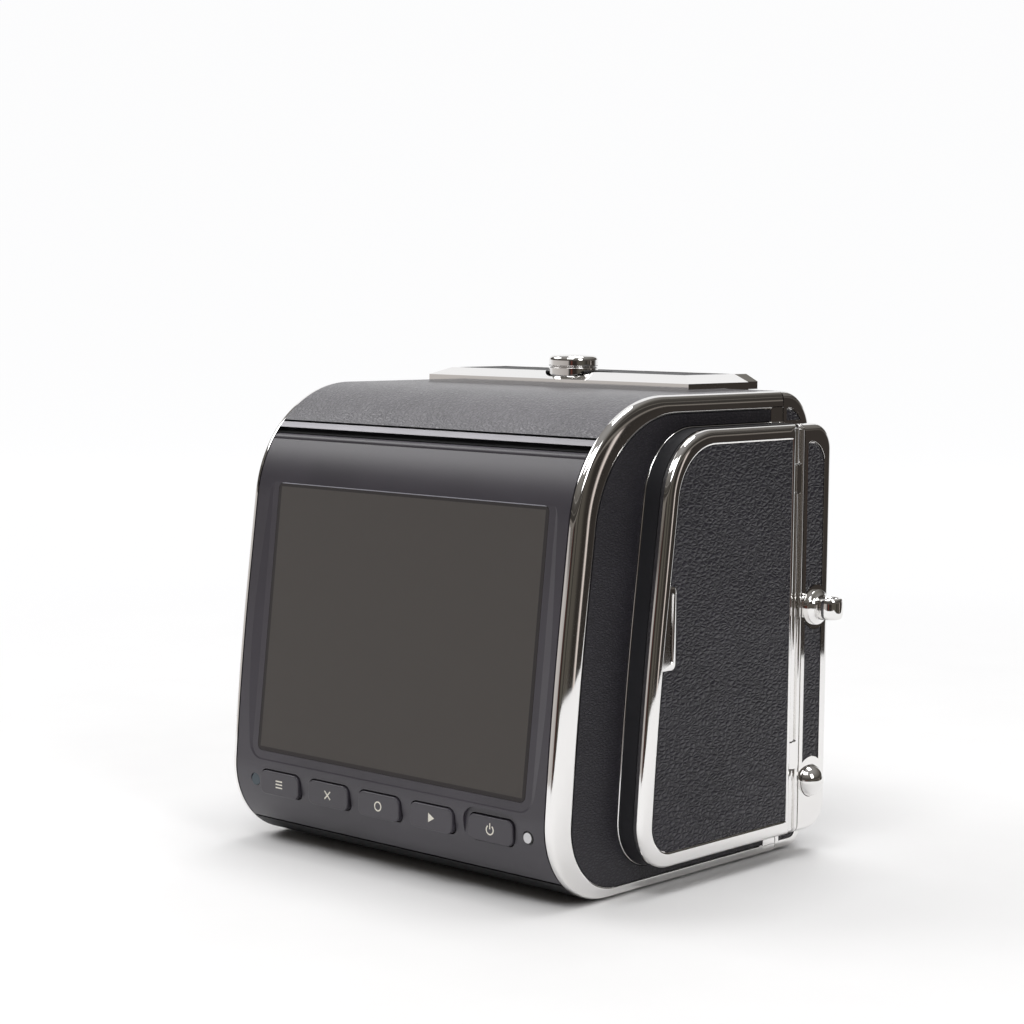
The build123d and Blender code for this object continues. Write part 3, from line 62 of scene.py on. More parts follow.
# Coverings: pieces of black grained leather laid in the recesses of the sides, the doors, the top and
# the front, the grain on the doors coarser than on the sides. The top's leather is painted a lighter
# grey, as light falling from above, and the sides' a little darker, as shade.
class Wire:
    """A socket of a node tree that takes part in sums. Each operation adds its Math node,
    and node() adds any other: its type, its settings, then the values or links of its sockets."""

    def __init__(self, tree, socket=None):
        self.tree, self.socket = tree, socket

    def node(self, kind, settings=None, out=0, **inputs):
        made = self.tree.nodes.new("ShaderNode" + kind)
        for key, value in (settings or {}).items():
            if key == "stops":
                for extra in range(len(value) - 2):
                    made.color_ramp.elements.new(0.5)
                for stop, (place, shade) in zip(made.color_ramp.elements, value):
                    stop.position, stop.color = place, (*shade, 1)
            else:
                setattr(made, key, value)
        for key, value in inputs.items():
            socket = made.inputs[int(key[1:]) if key[1:].isdigit() else key.replace("_", " ")]
            if isinstance(value, Wire):
                self.tree.links.new(value.socket, socket)
            else:
                socket.default_value = value
        return Wire(self.tree, made.outputs[out])

    def math(self, operation, *values):
        pair = {f"i{place}": value for place, value in enumerate(values)}
        return self.node("Math", {"operation": operation}, **pair)

    def noise(self, scale, detail=2.0, out=0):
        """Noise at this place."""
        return self.node("TexNoise", out=out, Vector=self, Scale=scale, Detail=detail)

    def ramp(self, *stops):
        """Shade by this value, from stops that each give a value and a shade."""
        return self.node("ValToRGB", {"stops": stops}, Fac=self)

    def between(self, low, high):
        """Shade between two others, by this value."""
        low, high = (shade if isinstance(shade, Wire) else (*shade, 1) for shade in (low, high))
        return self.node("Mix", {"data_type": "RGBA"}, out=2, Factor=self, i6=low, i7=high)

    def __add__(self, other):
        return self.math("ADD", self, other)

    def __mul__(self, other):
        return self.math("MULTIPLY", self, other)

    def __sub__(self, other):
        return self.math("SUBTRACT", self, other)

    def __rsub__(self, other):
        return self.math("SUBTRACT", other, self)

    __radd__, __rmul__ = __add__, __mul__


def finish_of(name, **uniform):
    """New material: its name, the plain values of its shader, and the wires to build on."""
    made = bpy.data.materials.new(name)
    made.use_nodes = True
    tree = made.node_tree
    shader = tree.nodes["Principled BSDF"]
    for key, value in uniform.items():
        shader.inputs[key.replace("_", " ")].default_value = value
    wires = Wire(tree)
    place = wires.node("TexCoord", out="Object")
    return made, wires, place, shader


def feed(wires, shader, **links):
    """Link each wire to the shader's socket of that name."""
    for key, value in links.items():
        wires.tree.links.new(value.socket, shader.inputs[key.replace("_", " ")])


def dress(material, *nodes):
    """Give a material to the CAD nodes of these names."""
    for node in nodes:
        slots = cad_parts[node].data.materials
        slots.clear()
        slots.append(material)


def grained(name, cell, depth, tint, gloss, stretch=(1.0, 0.62, 1.2), shine=0.5, haze=0.0):
    """Leather grain: uneven pebbles, longer than high, parted by narrow creases, with fine crumbs on
    top. The creases are painted darker, as shade, and duller, and the sheet shows a little wear in
    patches."""
    stir_pace, swell_pace, crumb_pace, patch_scale = 0.7, 0.55, 3.0, 60.0
    warp_share, flat_share, swell_share, crumb_share = 0.55, 0.35, 1.3, 0.25
    crease_shade, crease_gloss, haze_gloss = 0.6, 0.14, 0.35
    made, wires, place, shader = finish_of(name, Specular_IOR_Level=shine, Sheen_Weight=haze,
                                           Sheen_Roughness=haze_gloss)
    drawn = wires.node("Mapping", Vector=place, Scale=stretch)
    stir = drawn.noise(stir_pace / cell, 1.0, out="Color")
    moved = wires.node("VectorMath", {"operation": "MULTIPLY_ADD"}, i0=stir,
                       i1=(warp_share * cell,) * 3, i2=drawn)
    edge = wires.node("TexVoronoi", {"feature": "DISTANCE_TO_EDGE"}, Vector=moved, Scale=1 / cell)
    swell = place.noise(swell_pace / cell, 1.0)
    crumbs = place.noise(crumb_pace / cell)
    patches = place.noise(patch_scale)
    pebble = edge.ramp((0.0, (0, 0, 0)), (0.12, (0.40,) * 3), (0.30, (0.82,) * 3), (0.5, (1, 1, 1)))
    height = pebble * (flat_share + swell_share * swell) + crumb_share * crumbs
    # Painted shade: the creases are darker than the pebbles, and this mixes with the wear patches.
    dark = tuple(crease_shade * part for part in tint)
    wear = patches.ramp((0.3, (0.78, 0.78, 0.80)), (0.7, (1.15, 1.15, 1.15)))
    crease_shade_and_wear = wires.node("Mix", {"data_type": "RGBA", "blend_type": "MULTIPLY"}, out=2, Factor=1.0,
                      i6=pebble.between(dark, tint), i7=wear)
    bump = wires.node("Bump", Strength=1.0, Distance=depth, Height=height)
    feed(wires, shader, Base_Color=crease_shade_and_wear, Roughness=gloss + crease_gloss - crease_gloss * pebble,
         Normal=bump)
    return made


# One black leather throughout: the grey of the top is painted light, and the darker black of the sides
# is painted shade.
leather_black, side_painted_shade_black = (0.024, 0.022, 0.031), (0.020, 0.018, 0.025)
top_painted_light_grey, crosswise_grain = (0.105, 0.100, 0.117), (0.62, 1.0, 1.2)
door_grain = grained("door leather", 0.00084, 0.00017, leather_black, 0.32)
front_grain = grained("front leather", 0.00084, 0.00017, leather_black, 0.32, crosswise_grain)
# The sides' leather is tinted darker than the doors' as painted shade in its recess.
fine_grain = grained("fine leather", 0.00060, 0.00006, side_painted_shade_black, 0.42)
top_grain = grained("top leather", 0.00056, 0.00006, top_painted_light_grey, 0.28, crosswise_grain, 1.0, 0.35)
dress(door_grain, "right_door_leather", "left_door_leather", "body_side_leathers")
dress(front_grain, "front_leather")
dress(fine_grain, "right_side_leather", "left_side_leather")
dress(top_grain, "top_leather")


# Bright trim: polished, chromed metal on the deck, the thin body's frames and the mount's
# boss, satin metal on the hinge strip, and turned steel on the ring, pins and screws.
def polished(name, tint, gloss, scatter=0.02):
    """Metal with a faint unevenness from polishing, in clouds and in level lines."""
    cloud_scale, line_scale, line_stretch = 140.0, 4.0, (30.0, 30.0, 900.0)
    made, wires, place, shader = finish_of(name, Metallic=1.0, Base_Color=(*tint, 1))
    cloud = place.noise(cloud_scale, 4.0)
    lines = wires.node("Mapping", Vector=place, Scale=line_stretch).noise(line_scale)
    feed(wires, shader, Roughness=gloss + scatter * cloud + scatter * lines)
    return made


chrome = polished("polished chrome", (0.86, 0.85, 0.84), 0.03)
satin = polished("satin metal", (0.24, 0.235, 0.25), 0.34, 0.06)
steel = polished("turned steel", (0.62, 0.61, 0.60), 0.22, 0.05)
dress(chrome, "right_body_frame", "left_body_frame", "deck_plate", "body_deck", "shutter_button",
      "control_wheel", "mount_boss")
dress(satin, "hinge_strip", "heat_spreader")
dress(steel, "bayonet_ring", "mount_screws", "lens_lock_pin", "door_pins", "screen_hinge_pins",
      "tripod_socket")


# Side frames: a bulging chromed rim swept round each side of the back, a level bar and
# a post at its front, two hinge knuckles and the bed that the leather and box lie on.
# Sizes are in millimetres.
mm = 0.001
knee_y, knee_z, foot_z, deck_z = -40.278, 33.7, 0.5, 86.2
low_lean, high_lean = 0.06993, 0.12988
foot_r, knee_r, brow_r = 14.5, 560.0, 23.7
frame_bed, recess_level, frame_face, parting_y = 38.9, 39.95, 40.5, 21.45
rim_wide, rim_low, rim_high, rim_drop = 5.2, 1.8, 3.2, 0.56
inner_foot_r, inner_brow_r = 11.7, 21.4
box_in, box_low, box_high, box_face = 17.4, 4.3, 5.8, 45.5
box_foot_r, box_brow_r = 8.4, 12.8
box_foot_z, box_top_z = foot_z + box_low, deck_z - box_high
window_in, window_front = 1.7, 13.45
bead_wide, bead_high, bead_share = 0.3, 0.62, 0.99
post_rear_y, post_r, post_edge = 20.45, 1.4, 0.3
bar_rear_y, bar_edge, bar_low_z, bar_high_z = 17.85, 0.12, 1.5, 84.1
barrel_x, barrel_y, barrel_r = 44.45, 19.25, 1.05
knuckle_len, knuckle_edge, knuckle_feet = 5.0, 0.1, (17.0, 68.0)


def rounded(corners, radii, steps=36, spread=18):
    """Line through corners, each inner one replaced by an arc: its centre plus
    (a sin((1-s) w) + b sin(s w)) / sin w, where a and b lead from the centre to the ends of the
    arc and w is the angle between them. Each straight stretch has the same number of points."""
    corners = np.array(corners, float)
    line, start = [corners[:1]], corners[0]
    along = np.linspace(0, 1, spread)[1:-1, None]
    for before, corner, after, radius in zip(corners, corners[1:], corners[2:], radii):
        back_way = (before - corner) / np.linalg.norm(before - corner)
        fore_way = (after - corner) / np.linalg.norm(after - corner)
        half = np.arccos(back_way @ fore_way) / 2
        middle = (back_way + fore_way) / np.linalg.norm(back_way + fore_way)
        centre = corner + middle * radius / np.sin(half)
        first = corner + back_way * radius / np.tan(half) - centre
        last = corner + fore_way * radius / np.tan(half) - centre
        turn = np.pi - 2 * half
        share = np.linspace(0, 1, steps)[:, None]
        line.append(start + (centre + first - start) * along)
        arc = first * np.sin((1 - share) * turn) + last * np.sin(share * turn)
        line.append(centre + arc / np.sin(turn))
        start = centre + last
    return np.concatenate(line + [start + (corners[-1] - start) * along, corners[-1:]])


def rear_line(height):
    """Y of the leaning rear outline at a height: it leans more above the knee than below."""
    return knee_y + (height - knee_z) * np.where(height < knee_z, low_lean, high_lean)


def side_line(rear, low, high, front, low_r, high_r):
    """Side outline of the back in Y and Z, drawn inwards at its rear, its foot and its top."""
    low_z, high_z = foot_z + low, deck_z - high
    corners = [(front, low_z), (rear_line(low_z) + rear, low_z), (knee_y + rear, knee_z),
               (rear_line(high_z) + rear, high_z), (front, high_z)]
    return rounded(corners, (low_r, knee_r, high_r))


def box_line(inset, front):
    """Outline of the raised door box, drawn inwards."""
    return side_line(box_in + inset, box_low + inset, box_high + inset, front,
                     box_foot_r - inset, box_brow_r - inset)


def swept(outer, inner, profile):
    """Sheet between two outlines: each profile point gives the share of the way inwards and the X."""
    share, across = np.array(profile, float).T
    flat = outer[:, None] + (inner - outer)[:, None] * share[None, :, None]
    return np.concatenate([np.broadcast_to(across[None, :, None], (*flat.shape[:2], 1)), flat], axis=2)


def turned(centre_x, centre_y, profile, steps=49):
    """Round sheet about an upright axis: (X + r cos t, Y + r sin t) for each radius r and height."""
    turn = np.linspace(0, 2 * np.pi, steps)[:, None]
    radius, height = np.array(profile, float).T
    return np.stack([centre_x + radius * np.cos(turn), centre_y + radius * np.sin(turn),
                     height + 0 * turn], axis=2)


def sheets(name, grids, side=1):
    """Mesh of grids of points in millimetres, mirrored for side -1, its seams and poles joined."""
    join_within, sharp_from = 0.0000005, 0.7
    corners, quads, count = [], [], 0
    for grid in grids:
        rows, columns = grid.shape[:2]
        index = np.arange(rows * columns).reshape(rows, columns) + count
        loop = [index[:-1, :-1], index[:-1, 1:], index[1:, 1:], index[1:, :-1]]
        quads.append(np.stack(loop[::side], axis=-1).reshape(-1, 4))
        corners.append(grid.reshape(-1, 3) * (mm * side, mm, mm))
        count += rows * columns
    mesh = bpy.data.meshes.new(name)
    mesh.from_pydata(np.concatenate(corners).tolist(), [], np.concatenate(quads).tolist())
    joined = bmesh.new()
    joined.from_mesh(mesh)
    bmesh.ops.remove_doubles(joined, verts=joined.verts, dist=join_within)
    joined.to_mesh(mesh)
    joined.free()
    mesh.polygons.foreach_set("use_smooth", [True] * len(mesh.polygons))
    mesh.set_sharp_from_angle(angle=sharp_from)
    made = bpy.data.objects.new(name, mesh)
    bpy.context.collection.objects.link(made)
    return made


def crown(inside, face, width, drop):
    """Section of a rim: upright at its rear, a tight shoulder, a wide crown that levels out at the
    face, and a bevel and a short drop to the leather. Points give the share of the width and the X."""
    shoulder_r, steep, lean, steps = 1.0, np.radians(88), np.radians(12), 9
    wide_share, crown_share, flat_share, bevel_share, bevel_drop = 0.84, 0.86, 0.90, 0.985, 0.14
    wide = wide_share * width - shoulder_r * (np.sin(steep) - np.sin(lean))
    crown_r = wide / np.sin(lean)
    turn = np.concatenate([np.linspace(steep, lean, steps), np.linspace(lean, 0, steps)[1:]])
    radius = np.where(np.arange(len(turn)) < steps, shoulder_r, crown_r)
    step = np.diff(turn, prepend=turn[0])
    middle = turn - step / 2
    across = np.cumsum(-step * radius * np.sin(middle))
    along = np.cumsum(-step * radius * np.cos(middle))
    across += face - across[-1]
    along *= crown_share * width / along[-1]
    ends = [(flat_share, face), (bevel_share, face - bevel_drop), (1.0, face - drop)]
    return np.concatenate([[(0, inside)], np.stack([along / width, across], axis=1), ends])


def post_line(inset):
    """Outline of the post in X and Z: out from the frame, up its outer edge and in again."""
    outer, low, high = box_face - inset, box_foot_z + inset, box_top_z - inset
    return rounded([(frame_face, low), (outer, low), (outer, high), (frame_face, high)],
                   (post_r - inset,) * 2)


def post_column(line, y):
    """The outline of the post as points at one Y."""
    return np.insert(line, 1, y, axis=1)


rim_line = side_line(0, 0, 0, parting_y, foot_r, brow_r)
inner_line = side_line(rim_wide, rim_low, rim_high, parting_y, inner_foot_r, inner_brow_r)
window_line = box_line(window_in, window_front)
window_ring = np.concatenate([window_line, window_line[:1]])
bed = [(1, frame_bed), (0, frame_bed)]
bead = [(bead_share * (1 - np.cos(turn)) / 2, recess_level + bead_high * np.sin(turn))
        for turn in np.linspace(0, np.pi, 13)[:-1]]
post_shape = [(post_edge, 0.0), (0.08, 0.08), (0.0, 0.25), (0.0, 0.75), (0.08, 0.92), (post_edge, 1.0)]
post_sheet = np.stack([post_column(post_line(inset), post_rear_y + ahead)
                       for inset, ahead in post_shape], axis=1)
post_end = post_line(post_edge)
post_root = np.stack([0 * post_end[:, 0] + frame_face, post_end[:, 1]], axis=1)
post_cap = np.stack([post_column(post_end, post_rear_y), post_column(post_root, post_rear_y)], axis=1)
bar = [(bar_rear_y, recess_level), (bar_rear_y, frame_face - bar_edge),
       (bar_rear_y + bar_edge, frame_face), (parting_y - bar_edge, frame_face),
       (parting_y, frame_face - bar_edge), (parting_y, frame_bed)]
bar_sheet = np.array([[(x, y, z) for y, x in bar] for z in (bar_low_z, bar_high_z)])
frame_grids = [
    swept(rim_line, inner_line, crown(frame_bed, frame_face, rim_wide, rim_drop)),
    swept(rim_line, window_line, bed),
    swept(rim_line[[0, -1]], window_line[[0, -1]], bed),
    swept(box_line(-bead_wide, parting_y), box_line(0, parting_y), bead),
    swept(box_line(0, post_rear_y), window_line, [(0, frame_face), (1, frame_face)]),
    swept(window_ring, window_ring, [(0, frame_face), (0, frame_bed)]),
    bar_sheet[::-1, ::-1],
    post_sheet[:, ::-1],
    post_cap,
]
for foot in knuckle_feet:
    head = foot + knuckle_len
    knuckle = [(0, foot), (barrel_r - knuckle_edge, foot), (barrel_r, foot + knuckle_edge),
               (barrel_r, head - knuckle_edge), (barrel_r - knuckle_edge, head), (0, head)]
    web = [(barrel_x, barrel_y), (box_face, barrel_y), (box_face, post_rear_y), (barrel_x, post_rear_y)]
    frame_grids.append(turned(barrel_x, barrel_y, knuckle)[:, ::-1])
    frame_grids.append(np.array([[(x, y, z) for x, y in web] for z in (head, foot)]))
for side, node in ((1, "right_side_frame"), (-1, "left_side_frame")):
    side_frame = sheets("looks_" + node, frame_grids, side)
    side_frame.data.materials.append(chrome)
    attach(side_frame, "camera")
    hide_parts(node)


# Side doors: a chromed plate with a crowned rim round its leather, a finger notch with a
# groove at its rear edge, and the hinge barrel at its front, open at the frame's knuckles.
door_back, door_bed, door_rim, door_drop = 43.8, 44.9, 3.2, 0.5
leather_in, leather_low, leather_high, leather_front = box_in + door_rim, 7.1, 8.5, 17.85
leather_foot_r, leather_brow_r = 5.0, 10.2
notch_z, notch_half, notch_r, notch_lap = 46.6, np.array((2.5, 7.2)), 1.0, 0.28
notch_wall, notch_top = 45.40, 45.502
groove_half, groove_r, groove_ahead, groove_edge = np.array((0.34, 6.0)), 0.33, 1.35, 45.42
swing_gap, barrel_in, tube_bore, tube_edge = 0.15, 0.7, 0.5, 0.12


def closed(line):
    """An open outline with points added along the straight way back to its start."""
    return np.concatenate([line, line[-1] + (line[0] - line[-1]) * np.linspace(0, 1, 18)[1:, None]])


def filled(line, profile):
    """Flat sheet from an outline to its middle."""
    return swept(line, np.broadcast_to(line.mean(axis=0), line.shape), profile)


def round_box(centre, half, radius, level, steps=9):
    """Closed rounded rectangle in Y and Z at a level X, as one row of points."""
    turn = np.linspace(0, np.pi / 2, steps)
    straight = half - radius
    quarters = ((1, 1, 0), (-1, 1, np.pi / 2), (-1, -1, np.pi), (1, -1, 1.5 * np.pi))
    arcs = [np.stack([y_way * straight[0] + radius * np.cos(turn + lead),
                      z_way * straight[1] + radius * np.sin(turn + lead)], axis=1)
            for y_way, z_way, lead in quarters]
    row = np.concatenate(arcs + [arcs[0][:1]]) + centre
    return np.insert(row, 0, level, axis=1)


door_line = closed(box_line(0, barrel_y))
leather_line = closed(side_line(leather_in, leather_low, leather_high, leather_front,
                                leather_foot_r, leather_brow_r))
notch_spot = np.array((rear_line(notch_z) + leather_in, notch_z))
groove_spot = notch_spot + (groove_ahead, 0)
notch_rows = [round_box(notch_spot, notch_half - inset, notch_r - inset, x)
              for inset, x in ((0.0, door_bed), (0.0, notch_wall), (0.22, notch_top))]
groove_rows = [round_box(groove_spot, groove_half - inset, groove_r - inset, x)
               for inset, x in ((-0.08, notch_top), (0.0, groove_edge), (0.04, door_bed))]
groove_end = round_box(groove_spot, np.array((0.02, 5.6)), 0.01, door_bed)
for row in notch_rows:
    leather_edge = knee_y + (row[:, 2] - knee_z) * high_lean + leather_in
    row[:, 1] = np.maximum(row[:, 1], leather_edge - notch_lap)
door_grids = [
    swept(door_line, leather_line, crown(door_back, box_face, door_rim, door_drop)),
    swept(leather_line, leather_line, [(0, box_face - door_drop), (0, door_bed)]),
    filled(leather_line, [(0, door_bed), (1, door_bed)]),
    np.stack(notch_rows + groove_rows + [groove_end], axis=1)[:, ::-1],
]
inside_sheet = filled(door_line, [(1, door_back), (0, door_back)])
tube_ends = [box_foot_z + barrel_in]
for foot in knuckle_feet:
    tube_ends += [foot - swing_gap, foot + knuckle_len + swing_gap]
tube_ends.append(box_top_z - barrel_in)
for low, high in zip(tube_ends[::2], tube_ends[1::2]):
    tube = rounded([(tube_bore, low), (barrel_r, low), (barrel_r, high), (tube_bore, high)],
                   (tube_edge, tube_edge), 5, 3)
    door_grids.append(turned(barrel_x, barrel_y, tube)[:, ::-1])
for side, node in ((1, "right_door"), (-1, "left_door")):
    door = sheets("looks_" + node, door_grids, side)
    door.data.materials.append(chrome)
    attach(door, node)
    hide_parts(node)


# Release knob: a turned, chromed button in two tiers with a groove between them, on a stem
# with a foot under the roof of the back. Its corners give the radius and the rise from its
# lower edge.
knob_y, knob_low_z = 9.45, 87.85
knob_corners = np.array([(0.0, -6.65), (2.9, -6.65), (2.9, -5.15), (1.5, -5.05), (1.5, 0.0),
                         (4.75, 0.0), (4.75, 1.8), (4.35, 2.0), (4.7, 2.2), (4.7, 4.15),
                         (3.0, 4.15), (2.6, 4.0), (0.0, 4.0)])
knob_edges = (0.1, 0.1, 0.1, 0.1, 0.35, 0.12, 0.05, 0.12, 1.0, 0.3, 0.3)
knob_section = rounded(knob_corners + (0.0, knob_low_z), knob_edges, 9, 4)
knob = sheets("looks_release_knob", [turned(0.0, knob_y, knob_section)[:, ::-1]])
knob.data.materials.append(chrome)
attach(knob, "release_knob")
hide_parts("release_knob")


# Strap lugs: on each side a forged ring on a neck that stands on a round, stepped base,
# all chromed. The corners of the base give the radius and the X.
lug_y, lug_z, ring_x = 25.95, 46.5, 48.35
ring_r, ring_half_thick, ring_half_high = 2.05, 0.6, 1.95
lug_corners = [(3.3, 45.4), (3.3, 46.05), (2.7, 46.45), (2.3, 46.8), (1.55, 47.0), (1.5, 47.3)]
lug_edges = (0.3, 0.25, 0.25, 0.35)


def ring_sheet(centre, middle_r, half_thick, half_high, steps=49, roll_steps=33):
    """Ring with a flattened round section: radius R + a c |c|^-0.3 and height b s |s|^-0.3,
    where c = cos u and s = sin u."""
    fullness = 0.7
    turn = np.linspace(0, 2 * np.pi, steps)[:, None]
    roll = np.linspace(0, 2 * np.pi, roll_steps)[None, :]
    radius = middle_r + half_thick * np.sign(np.cos(roll)) * np.abs(np.cos(roll)) ** fullness
    high = half_high * np.sign(np.sin(roll)) * np.abs(np.sin(roll)) ** fullness
    return np.stack([centre[0] + radius * np.cos(turn), centre[1] + radius * np.sin(turn),
                     centre[2] + high + 0 * turn], axis=2)


def laid(grid):
    """A sheet turned about an upright axis, laid over so that its axis points along X."""
    return grid[..., [2, 0, 1]]


lug_grids = [laid(turned(lug_y, lug_z, rounded(lug_corners, lug_edges, 6, 3))),
             ring_sheet((ring_x, lug_y, lug_z), ring_r, ring_half_thick, ring_half_high)[:, ::-1]]
lug_grids += [(grid * (-1, 1, 1))[:, ::-1] for grid in lug_grids]
lugs = sheets("looks_strap_lugs", lug_grids)
lugs.data.materials.append(chrome)
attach(lugs, "camera")
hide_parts("strap_lugs")


# Lens release: a domed, chromed button on a stem, pushed into its round pit in the side of
# the thin body. Its corners give the radius and the X.
button_y, button_z, button_x = 25.25, 14.1, 44.85
dome_r, dome_turn = 3.05, np.radians(73.0)
button_corners = [(2.92, 45.43), (1.46, 45.43), (1.46, 41.25), (0, 41.25)]
dome_rise = np.linspace(0, dome_turn, 25)
dome = np.stack([dome_r * np.sin(dome_rise), button_x + dome_r * np.cos(dome_rise)], axis=1)
button_section = np.concatenate([dome, button_corners])
button = sheets("looks_lens_release", [laid(turned(button_y, button_z, button_section))[:, ::-1]])
button.data.materials.append(chrome)
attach(button, "lens_release")
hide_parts("lens_release")


# Bevels round the leather of the thin body: the bright lip of each chromed recess, on the
# box beside the door and on the flat side above it.
lip_rear_y, lip_front_y, lip_low_z, lip_high_z = 22.57, 27.75, 51.0, 77.0
lip_edges = (0.8, 4.2)
brow_centre, brow_lip_r, brow_from = (22.95, 78.2), 4.8, np.radians(32)


def lip(line, face, width=0.2, rise=0.02, drop=0.09):
    """Strip along a line in Y and Z: its outer side lies width away along the line's normal."""
    run = np.gradient(line, axis=0)
    normal = np.stack([-run[:, 1], run[:, 0]], axis=1) / np.linalg.norm(run, axis=1)[:, None]
    outer = np.insert(line + width * normal, 0, face + rise, axis=1)
    inner = np.insert(line, 0, face - drop, axis=1)
    return np.stack([outer, inner], axis=1)


high_edge = rounded([(lip_rear_y, lip_low_z), (lip_rear_y, lip_high_z), (lip_front_y, lip_high_z),
                     (lip_front_y, lip_low_z)], lip_edges)
brow_turn = np.linspace(brow_from, np.pi / 2, 19)[::-1]
brow_edge = np.stack([brow_centre[0] + brow_lip_r * np.cos(brow_turn),
                      brow_centre[1] + brow_lip_r * np.sin(brow_turn)], axis=1)
lip_grids = [lip(high_edge, box_face), lip(brow_edge, frame_face)]
for side, node in ((1, "right_body_lip"), (-1, "left_body_lip")):
    body_lip = sheets(node, lip_grids, side)
    body_lip.data.materials.append(chrome)
    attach(body_lip, "camera")


# Coated parts: the black painted casting, tinted darker than its paint as painted shade under the back,
# the screen's panel with its keys, the moulded plastics, the black inside faces of the doors, and the
# boards under their green lacquer.
def coated(name, tint, gloss, speck=0.00001, spacing=0.00025, shine=0.5):
    """Coat over metal or plastic, with a fine even speckle and faint clouds."""
    cloud_scale, cloud_gloss, cloud_shade, speck_strength = 45.0, 0.06, 0.12, 0.6
    made, wires, place, shader = finish_of(name, Specular_IOR_Level=shine)
    specks = place.noise(1 / spacing)
    cloud = place.noise(cloud_scale, 3.0)
    low = tuple((1 - cloud_shade) * part for part in tint)
    high = tuple((1 + cloud_shade) * part for part in tint)
    bump = wires.node("Bump", Strength=speck_strength, Distance=speck, Height=specks)
    feed(wires, shader, Base_Color=cloud.ramp((0.35, low), (0.65, high)),
         Roughness=gloss + cloud_gloss * cloud, Normal=bump)
    return made


bezel_coat = coated("bezel coat", (0.041, 0.037, 0.047), 0.33, shine=0.65)
# The casting's near-black tint is partly its black paint and partly painted shade, darker than the
# panel's coat.
casting_coat_painted_shade = coated("casting coat", (0.012, 0.012, 0.014), 0.5, shine=0.3)
black_plastic = coated("black plastic", (0.018, 0.018, 0.021), 0.45)
board_green = coated("board lacquer", (0.02, 0.09, 0.045), 0.3)
dress(bezel_coat, "screen_bezel", "menu_key", "cancel_key", "select_key", "playback_key", "power_key")
dress(casting_coat_painted_shade, "back_casing", "front_plate", "base_plate", "body_casting", "sensor_frame",
      "deck_cover")
dress(black_plastic, "right_pod_wall", "left_pod_wall", "screen_back_cover", "battery", "battery_bay",
      "memory_cards", "card_reader", "socket_block", "contact_block")
dress(board_green, "main_board", "sensor_board", "key_board")
for side, node in ((1, "right_door"), (-1, "left_door")):
    inside = sheets(node + "_inside", [inside_sheet], side)
    inside.data.materials.append(black_plastic)
    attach(inside, node)


# Glass of the screen: dark and polished, with a darker margin round the display's active area, whose
# brown-grey is partly the panel's own dark tone and partly a painted reflection, and a fine light line
# along its top edge that is a painted highlight. Places in a shader are in metres.
screen_x, screen_z, screen_half_w, screen_half_h = 0.0004, 0.0432, 0.0336, 0.0249
margin_steep, glass_cloud_scale = 500.0, 25.0
# The active area's brown-grey is partly a painted reflection; the light grey along the top edge is a
# painted highlight.
active_grey_painted_reflection, margin_black, painted_highlight_grey = (0.070, 0.064, 0.060), (0.030, 0.027, 0.028), (0.30, 0.30, 0.34)
screen_face, wires, place, shader = finish_of("screen glass", Roughness=0.04, Specular_IOR_Level=0.35)
across_by = wires.node("SeparateXYZ", out="X", Vector=place) - screen_x
upward_by = wires.node("SeparateXYZ", out="Z", Vector=place) - screen_z
past_side = wires.math("ABSOLUTE", across_by) - screen_half_w
past_end = wires.math("ABSOLUTE", upward_by) - screen_half_h
near_edge = 1 + margin_steep * wires.math("MAXIMUM", past_side, past_end)
near_top = 1 + margin_steep * (upward_by - screen_half_h)
shade = near_edge.ramp((0.60, active_grey_painted_reflection), (0.66, margin_black), (1.0, margin_black))
# Painted highlight: a thin light line along the glass's top edge.
line = near_top.ramp((0.90, (0, 0, 0)), (0.94, (1, 1, 1)))
feed(wires, shader, Base_Color=line.between(shade, painted_highlight_grey),
     Roughness=0.05 + 0.03 * place.noise(glass_cloud_scale))
dress(screen_face, "screen_glass", "display_module")


# Small eyes under the screen and the contacts: a dark light sensor, a milky lamp cap with a black ring
# painted round its edge as the shade of the gap about it, and gold plated pins in the mount.
lamp_x, lamp_z = 0.035, 0.0126
dress(coated("light sensor", (0.035, 0.055, 0.07), 0.15), "light_sensor")
dress(polished("gold plating", (0.83, 0.62, 0.28), 0.2), "contact_pins")
lamp_face, wires, place, shader = finish_of("lamp cap", Roughness=0.3)
off_axis = wires.node("VectorMath", {"operation": "SUBTRACT"}, i0=place, i1=(lamp_x, 0, lamp_z))
flat_spot = wires.node("VectorMath", {"operation": "MULTIPLY"}, i0=off_axis, i1=(1 / mm, 0, 1 / mm))
from_middle = wires.node("VectorMath", {"operation": "LENGTH"}, out="Value", i0=flat_spot)
# Painted shade: the cap turns black at its edge, for the gap round it.
feed(wires, shader, Base_Color=from_middle.ramp((0.88, (0.66, 0.66, 0.68)), (0.93, (0.01, 0.01, 0.01))))
dress(lamp_face, "status_lamp")


# Image sensor and the filter in front of it: a dark chip with a faint play of colours
# behind a clear, coated glass.
sensor_cloud_scale, filter_cloud_scale = 40.0, 30.0
sensor_teal, sensor_violet = (0.03, 0.10, 0.12), (0.10, 0.05, 0.16)
sensor_face, wires, place, shader = finish_of("sensor", Roughness=0.12, Metallic=0.6)
colour_play = place.noise(sensor_cloud_scale).ramp((0.3, sensor_teal), (0.7, sensor_violet))
feed(wires, shader, Base_Color=colour_play)
dress(sensor_face, "image_sensor")
filter_glass, wires, place, shader = finish_of("filter glass", Transmission_Weight=1.0, IOR=1.5)
feed(wires, shader, Roughness=0.02 + 0.01 * place.noise(filter_cloud_scale))
dress(filter_glass, "sensor_filter")


